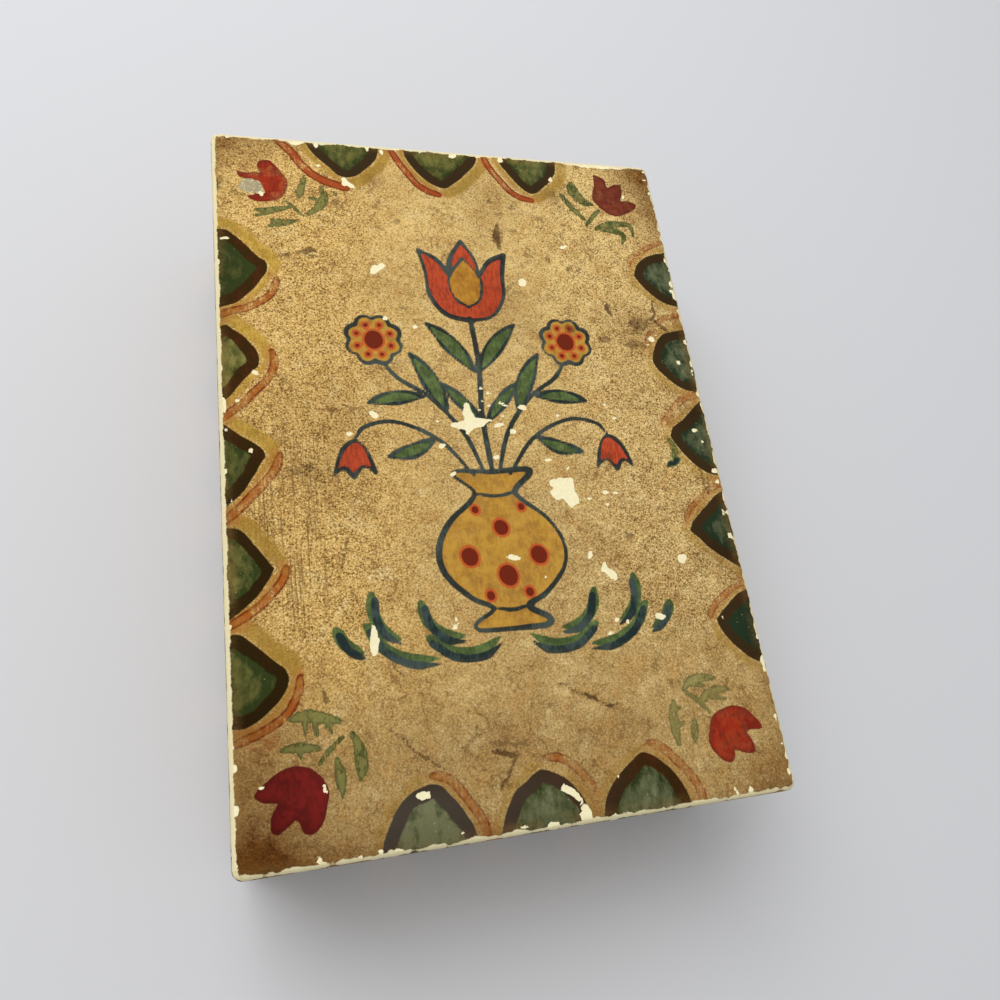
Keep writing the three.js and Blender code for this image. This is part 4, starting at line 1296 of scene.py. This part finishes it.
def ground(f, cloud, mottle, grain, fine):
    """The tan ground: painted light and shade, paler towards the back and darker at the front; pebbled all
    over and most at the sides, with blots, cracks, long scratches at the left and pale flecks."""
    x, y = f.axis("X"), f.axis("Y")
    off_middle = f.larger(x, 0 - x)
    # Painted light and shade: the ground is shaded at the front and lit towards the back
    colour = f.mix(f.rise(y, -75.0, 62.0), GROUND_SHADED_FRONT, GROUND_LIT_BACK)
    colour = f.mix(f.rise(x, 0.0, -34.0) * f.rise(y, -66.0, -30.0) * 0.6, colour, GROUND_LEFT)
    colour = f.mix(f.rise(f.noise(1.7, 3.0, 0.6, shift=27.3), 0.48, 0.7) * 0.42, colour, GROUND_TAN)
    patches = f.noise(5.2, 4.0, 0.72, shift=17.7)
    colour = f.mix(f.rise(patches, 0.5, 0.66) * 0.5, colour, GROUND_TAN)
    colour = f.mix(f.rise(patches, 0.48, 0.3) * 0.6, colour, GROUND_LIGHT)
    colour = f.mix(f.rise(cloud, 0.48, 0.66) * f.rise(y, 66.0, 10.0) * 0.35, colour, GROUND_BROWN)
    coarse, sharp = f.noise(4.4, 4.0, 0.96, shift=8.1), f.noise(0.34, 1.0, 0.8, shift=33.3)
    pebbles = (coarse - 0.5) * 1.9 + (sharp - 0.5) * 3.9
    sideways = f.rise(off_middle, 12.0, 30.0)
    strength = 0.48 + 0.14 * f.rise(y, -46.0, -30.0) + 0.4 * sideways * f.rise(y, -56.0, -28.0)
    share = pebbles * strength + 0.18 + 0.02 * sideways
    colour = f.mix(f.larger(share, 0.0), colour, SPECKLE)
    colour = f.mix(f.larger(0 - share * 0.9, 0.0), colour, GRAIN_LIGHT)
    blots = f.rise(f.noise(1.6, 3.0, 0.6, shift=21.7), 0.64, 0.74) * f.rise(cloud, 0.4, 0.6)
    colour = f.mix(blots * f.rise(grain, 0.4, 0.6) * 0.6, colour, BLOT)
    cracked = f.rise(f.cells(7.0, 0.9), 0.034, 0.006) * f.rise(mottle + cloud * 0.6, 0.74, 0.9)
    colour = f.mix(cracked * 0.6, colour, CRACK)
    crazed = f.rise(f.cells(2.3, 1.1), 0.07, 0.015) * f.rise(mottle + cloud * 0.4, 0.62, 0.8)
    colour = f.mix(crazed * f.rise(y, -34.0, -52.0) * 0.42, colour, CRACK)
    scored = f.rise(f.noise(0.34, 3.0, 0.6, stretch=(1, 50, 1), shift=31.1), 0.52, 0.64)
    where = f.rise(x, -27.0, -35.0) * f.rise(y, 12.0, -6.0) * f.rise(y, -40.0, -28.0)
    colour = f.mix(scored * (0.06 + 0.6 * where), colour, SPECKLE)
    flecks = f.rise(f.noise(0.6, 2.0, 0.5, shift=41.9), 0.66, 0.74)
    return f.mix(flecks * 0.45, colour, CREAM)


def painted_border(f, colour, wander, streaks, cloud, mottle, grain):
    """Washes, halos, orange strokes and scallops. Returns the colour and where the dark bands are."""
    x, y = f.axis("X"), f.axis("Y")
    wash = f.rise(f.layer("wash") + wander * 1.2, -0.5, 0.8) * f.rise(mottle + grain * 0.4, 0.5, 0.85)
    colour = f.mix(wash * 0.6, colour, RUSTY)
    halo = f.rise(f.layer("halo") + wander * 1.2 + (mottle - 0.5) * 1.2, -0.4, 0.7)
    halo = halo * f.rise(streaks + mottle * 0.6, 0.3, 0.75)
    tint = f.mix(f.rise(mottle + (streaks - 0.5) * 0.7, 0.4, 0.6), OCHRE_HALO, OCHRE_PALE)
    low_left = f.rise(y, 10.0, -12.0) * f.rise(x, 0.0, -30.0)
    ends = f.larger(f.rise(y, 52.0, 62.0), f.rise(y, -54.0, -62.0))
    rightward = f.rise(x, 16.0, 40.0)
    aged = f.larger(f.larger(ends * 0.55, low_left * 0.75), rightward * 0.6)
    tint = f.mix(aged, tint, OCHRE_DARK)
    near_stroke = f.rise(f.layer("orange") + wander, -1.7, -0.3)
    tint = f.mix(near_stroke * 0.7, tint, ORANGE_STAIN)
    thin = f.larger(rightward * 0.25, f.rise(y, -48.0, -62.0) * 0.4)
    colour = f.mix(halo * (0.95 - 0.3 * grain - thin), colour, tint)
    stroke = f.layer("orange") + wander * 0.35 + (grain - 0.5) * 0.25
    at_back = f.rise(y, 48.0, 60.0)
    shade = f.mix(at_back, ORANGE, ORANGE_BACK)
    rim = f.rise(stroke + (streaks - 0.5) * 0.4, 0.52, 0.26) * f.rise(mottle + cloud * 0.5, 0.5, 0.72)
    shade = f.mix(rim, shade, ORANGE_EDGE)
    patchy = f.rise(f.noise(3.6, 3.0, 0.6, shift=63.1), 0.58, 0.42)
    faint = f.larger(thin, f.rise(x, 28.0, 38.0) * 0.45)
    body = 0.14 + 0.34 * patchy + 0.6 * f.rise(streaks + mottle * 0.8, 0.62, 1.05)
    body = body + 0.45 * at_back - faint * 0.7
    body = body - 0.4 * f.rise(stroke, 0.3, 0.6) * f.rise(y, 60.5, 63.5)
    body = f.larger(f.smaller(body, 0.94), rim * (0.85 - faint) * (0.55 + 0.45 * patchy))
    colour = f.mix(f.rise(stroke, -0.06, 0.12) * body, colour, shade)
    depth = f.layer("scallop") + wander * 0.35
    cooler = f.rise(x, 10.0, 42.0)
    deep = f.mix(cooler, SCALLOP_OLIVE, SCALLOP_TEAL)
    pale = f.mix(f.larger(cooler, f.rise(y, -50.0, -62.0)), SCALLOP_PALE, SCALLOP_GREY)
    brushed = f.noise(1.5, 3.0, 0.6, stretch=(1, 2, 1), shift=51.7)
    uneven = (brushed - 0.5) * 2.5 + (mottle - 0.5) * 1.1 + (grain - 0.5) * 0.7
    share = f.layer("pale") + uneven * (0.35 + f.layer("pale") * 0.8)
    share = share - 0.3 * f.rise(depth, 4.2, 2.2)
    green = f.mix(share, deep, pale)
    flecks = f.rise(f.noise(0.45, 2.0, 0.5, shift=47.3), 0.7, 0.76)
    green = f.mix(flecks * 0.45, green, CREAM)
    colour = f.mix(f.rise(depth, -0.1, 0.2), colour, green)
    dark = f.mix(f.rise(mottle + streaks * 0.5, 0.7, 0.9) * 0.8, BAND, BAND_RED)
    dark = f.mix(f.larger(f.rise(y, 52.0, 60.0), f.rise(x, 20.0, 40.0)) * 0.75, dark, BAND_DUN)
    dark = f.mix(low_left * 0.8, dark, BAND_LOW)
    # Painted sheen: the dark bands at the front left turn slate grey
    band_sheen = f.rise(y, -57.0, -66.0) * f.rise(x, 30.0, -28.0)
    dark = f.mix(band_sheen, dark, BAND_SHEEN)
    inner = depth + (cloud - 0.5) * 2.0 + (mottle - 0.5) * 0.6
    band = f.rise(depth, -0.12, 0.14) * f.rise(inner, 2.3, 1.95)
    return f.mix(band, colour, dark), band


def painted_corners(f, colour, wander, streaks, mottle, grain):
    """Corner leaves and tulips: crimson at the front left, faded at the back right."""
    x, y = f.axis("X"), f.axis("Y")
    faded = f.rise(x - y, 60.0, 90.0)
    leaf_depth = f.layer("leaf") + wander * 0.5 + (streaks - 0.5) * 0.8
    leaf = f.rise(leaf_depth, -0.15, 0.15)
    share = (mottle - 0.5) * 3.0 + (streaks - 0.5) * 1.6 + 0.74 - 0.3 * f.rise(x + y, 60.0, 90.0)
    green = f.mix(f.rise(share, 0.42, 0.78), LEAF_GREEN, LEAF_PALE)
    leaf_rim = f.rise(leaf_depth, 0.5, 0.05) * f.rise(mottle + grain * 0.3, 0.48, 0.7)
    green = f.mix(leaf_rim * 0.8, green, LEAF_EDGE)
    colour = f.mix(leaf * f.rise(streaks, 0.15, 0.5) * (0.95 - 0.2 * faded), colour, green)
    depth = f.layer("bloom") + wander * 0.3 + (streaks - 0.5) * 0.2
    red = f.mix(f.rise(x + y, 60.0, 100.0), TULIP_RED, TULIP_FADED)
    red = f.mix(f.rise(x + y, -60.0, -90.0), red, TULIP_CRIMSON)
    rim = f.rise(depth + (streaks - 0.5) * 1.6, 1.1, 0.0) * 0.7
    blotched = f.rise(mottle + (streaks - 0.5) * 0.5, 0.42, 0.62) * 0.6
    red = f.mix(f.larger(rim, blotched), red, TULIP_DEEP)
    thin = f.rise(f.noise(3.2, 4.0, 0.62, shift=57.9), 0.46, 0.62) * f.rise(x + y, -85.0, -55.0)
    rubbed = f.rise(x - y, -82.0, -92.0)
    share = 0.99 - thin * (0.06 + 0.11 * rubbed)
    return f.mix(f.rise(depth, -0.12, 0.12) * share, colour, red)


def painted_middle(f, colour, wander, streaks, cloud, mottle, fine):
    """The vase of flowers. Returns the colour and where the ink lines are."""
    bottle = f.mix(f.rise(mottle + streaks * 0.5, 0.6, 1.0), BOTTLE, BOTTLE_PALE)
    colour = f.mix(f.rise(f.layer("bottle") + wander * 0.5, -0.15, 0.15) * 0.92, colour, bottle)
    petal = f.mix(f.rise(streaks + mottle * 0.4, 0.55, 0.95), PETAL, PETAL_DEEP)
    colour = f.mix(f.rise(f.layer("petal") + wander * 0.5, -0.1, 0.15) * 0.94, colour, petal)
    ochre = f.mix(f.rise(mottle + streaks * 0.5, 0.55, 1.0), VASE_OCHRE, VASE_DEEP)
    colour = f.mix(f.rise(f.layer("ochre") + wander * 0.5, -0.1, 0.15) * 0.88, colour, ochre)
    dots = f.layer("dots") + wander * 0.4
    colour = f.mix(f.rise(dots, -0.45, -0.2) * 0.75, colour, PETAL)
    colour = f.mix(f.rise(dots, 0.0, 0.25) * 0.95, colour, SPOT_BROWN)
    line = f.rise(f.layer("line") + wander * 0.4, -0.12, 0.15)
    ink = f.mix(f.rise(cloud + (streaks - 0.5) * 0.4, 0.42, 0.62), INK, INK_SLATE)
    return f.mix(line * f.rise(streaks + fine * 0.3, 0.22, 0.5) * 0.97, colour, ink), line


WOOD_PALE = tone(196, 160, 112)
WOOD_DEEP = tone(160, 120, 76)
WOOD_LINE = tone(118, 82, 48)
WOOD_DUST = tone(150, 122, 88)


def wood_finish(name, along, painted_back=False, turn=0.0):
    """Bare planed board: grain drawn out along one axis, pores and dark streaks, dirt in the low spots."""
    f = Finish(name, roughness=0.75, specular=0.3)
    stretch = tuple(34 if axis == along else 1 for axis in range(3))
    bend = f.noise(30.0, 2.0, shift=turn + 2.0)
    rings = f.noise(1.3, 3.0, 0.5, stretch=stretch, shift=turn, twist=0.3)
    broad = f.noise(7.0, 3.0, 0.5, stretch=stretch, shift=turn + 4.0, twist=0.3)
    pores = f.noise(0.2, 2.0, 0.5, stretch=stretch, shift=turn + 7.0)
    colour = f.mix(f.rise(rings + bend * 0.4, 0.55, 0.9) * 0.7, WOOD_PALE, WOOD_DEEP)
    colour = f.mix(f.rise(broad, 0.42, 0.7) * 0.4, colour, WOOD_DEEP)
    colour = f.mix(f.rise(pores, 0.54, 0.7) * 0.35, colour, WOOD_LINE)
    colour = f.mix(f.rise(f.noise(16.0, 4.0, 0.6, shift=turn + 9.0), 0.5, 0.75) * 0.35, colour, WOOD_DUST)
    if painted_back:
        brushed = f.rise(f.axis("Y") + (f.noise(1.5, 3.0) - 0.5) * 0.8, 70.5, 70.9)
        colour = f.mix(brushed, colour, f.mix(f.rise(f.noise(3.0, 4.0), 0.4, 0.65), GROUND_TAN, DIRT))
    f.set("Base Color", colour)
    f.set("Roughness", 0.66 + 0.16 * rings)
    f.set("Normal", f.bump(rings * 0.6 + pores * 0.5, 0.05))
    return f.material


BRASS = (0.60, 0.42, 0.15, 1)
BRASS_DULL = (0.30, 0.19, 0.07, 1)
BRASS_DARK = (0.09, 0.06, 0.03, 1)


def brass_finish(name, shift):
    """Old brass: satin metal, clouded with brown tarnish, with fine scratches."""
    f = Finish(name, roughness=0.4, metallic=1.0)
    cloud = f.noise(2.2, 4.0, 0.6, shift=shift)
    grain = f.noise(0.3, 3.0, 0.6, stretch=(8, 1, 1), shift=shift + 3)
    colour = f.mix(f.rise(cloud, 0.42, 0.66), BRASS, BRASS_DULL)
    colour = f.mix(f.rise(cloud + grain * 0.4, 0.78, 0.95) * 0.7, colour, BRASS_DARK)
    f.set("Base Color", colour)
    f.set("Roughness", 0.3 + 0.35 * cloud)
    f.set("Normal", f.bump(grain, 0.02))
    return f.material


STEEL = (0.24, 0.22, 0.20, 1)
STEEL_DARK = (0.07, 0.06, 0.055, 1)
RUST = tone(126, 66, 34)


def steel_finish():
    """Dull steel brads with rust."""
    f = Finish("rusty_steel", roughness=0.6, metallic=0.8)
    cloud = f.noise(0.9, 4.0, 0.65)
    fine = f.noise(0.25, 3.0, 0.6, shift=4.0)
    colour = f.mix(f.rise(fine, 0.4, 0.65), STEEL, STEEL_DARK)
    rusty = f.rise(cloud, 0.46, 0.58)
    f.set("Base Color", f.mix(rusty * 0.85, colour, RUST))
    f.set("Metallic", 0.85 - 0.75 * rusty)
    f.set("Roughness", 0.45 + 0.4 * rusty)
    f.set("Normal", f.bump(cloud + fine * 0.5, 0.04))
    return f.material


# How far edges are rounded: boards, hinges, and screws and brads
SOFT_BOARD = 0.25
SOFT_HINGE = 0.12
SOFT_FASTENER = 0.06
SOFT_ANGLE = 40
WELD_REACH = 0.001


def dress_cad_nodes():
    """Gives every CAD node its finish, and softens the edges of boards and metal a little."""
    across = wood_finish("board_across", 0, painted_back=True)
    upright = wood_finish("board_lengthwise", 1, painted_back=True, turn=13.0)
    panel = wood_finish("board_bottom", 1, turn=27.0)
    brass = brass_finish("hinge_brass", 0.0)
    screw = brass_finish("screw_brass", 17.0)
    steel = steel_finish()
    boards = {"front_wall": across, "back_wall": across, "left_wall": upright, "right_wall": upright,
              "lid_panel": upright, "bottom_panel": panel}
    for name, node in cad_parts.items():
        if name in boards:
            finish, soften = boards[name], SOFT_BOARD
        elif "brad" in name:
            finish, soften = steel, SOFT_FASTENER
        elif "screw" in name:
            finish, soften = screw, SOFT_FASTENER
        else:
            finish, soften = brass, SOFT_HINGE
        node.data.materials.clear()
        node.data.materials.append(finish)
        soften_edges(node, soften)


def soften_edges(node, width):
    """Joins a node's loose triangles and rounds its sharp edges, in modifiers only."""
    weld = node.modifiers.new("joined", "WELD")
    weld.merge_threshold = WELD_REACH * MM
    bevel = node.modifiers.new("softened", "BEVEL")
    bevel.width = width * MM
    bevel.segments = 2
    bevel.limit_method = "ANGLE"
    bevel.angle_limit = math.radians(SOFT_ANGLE)


# Stage

FLOOR_TONE = tone(206, 207, 210)
FLOOR_HALF = 3.0
WORLD_LEVEL = 0.55
KEY_PLACE = (-0.30, 0.42, 0.75)
KEY_SIZE = 0.7
KEY_POWER = 6.3


def make_stage():
    """A plain pale floor under the box, a soft world that looks white to the camera, and one large lamp."""
    mesh = bpy.data.meshes.new("floor")
    corners = [(FLOOR_HALF * x, FLOOR_HALF * y, 0) for x, y in ((-1, -1), (1, -1), (1, 1), (-1, 1))]
    mesh.from_pydata(corners, [], [(0, 1, 2, 3)])
    floor = bpy.data.objects.new("floor", mesh)
    bpy.context.scene.collection.objects.link(floor)
    f = Finish("floor", roughness=0.9, specular=0.1)
    f.set("Base Color", FLOOR_TONE)
    mesh.materials.append(f.material)

    world = bpy.data.worlds.new("studio")
    bpy.context.scene.world = world
    world.use_nodes = True
    nodes, links = world.node_tree.nodes, world.node_tree.links
    back = nodes["Background"]
    back.inputs["Color"].default_value = (1, 1, 1, 1)
    rays = nodes.new("ShaderNodeLightPath")
    seen = rays.outputs["Is Camera Ray"]
    for name in ("Is Glossy Ray", "Is Transmission Ray"):
        either = nodes.new("ShaderNodeMath")
        either.operation = "MAXIMUM"
        links.new(seen, either.inputs[0])
        links.new(rays.outputs[name], either.inputs[1])
        seen = either.outputs[0]
    level = nodes.new("ShaderNodeMapRange")
    level.inputs["To Min"].default_value = WORLD_LEVEL
    level.inputs["To Max"].default_value = 1.0
    links.new(seen, level.inputs["Value"])
    links.new(level.outputs[0], back.inputs["Strength"])

    lamp = bpy.data.lights.new("key", "AREA")
    lamp.size = KEY_SIZE
    lamp.energy = KEY_POWER
    key = bpy.data.objects.new("key", lamp)
    key.location = KEY_PLACE
    key.rotation_euler = (-Vector(KEY_PLACE)).to_track_quat("-Z", "Y").to_euler()
    bpy.context.scene.collection.objects.link(key)


def make_camera():
    """The camera of the photograph."""
    data = bpy.data.cameras.new("camera")
    data.lens = CAMERA_LENS
    data.sensor_width = SENSOR_WIDTH
    data.clip_start = 0.005
    camera = bpy.data.objects.new("camera", data)
    camera.location = [c * MM for c in CAMERA_PLACE]
    camera.rotation_euler = [math.radians(a) for a in CAMERA_TURN]
    bpy.context.scene.collection.objects.link(camera)
    bpy.context.scene.camera = camera


make_camera()
make_stage()
dress_cad_nodes()
paint = painted_finish()
lid_skin(paint)
case_skin(paint)
bpy.context.scene.view_settings.view_transform = "Standard"
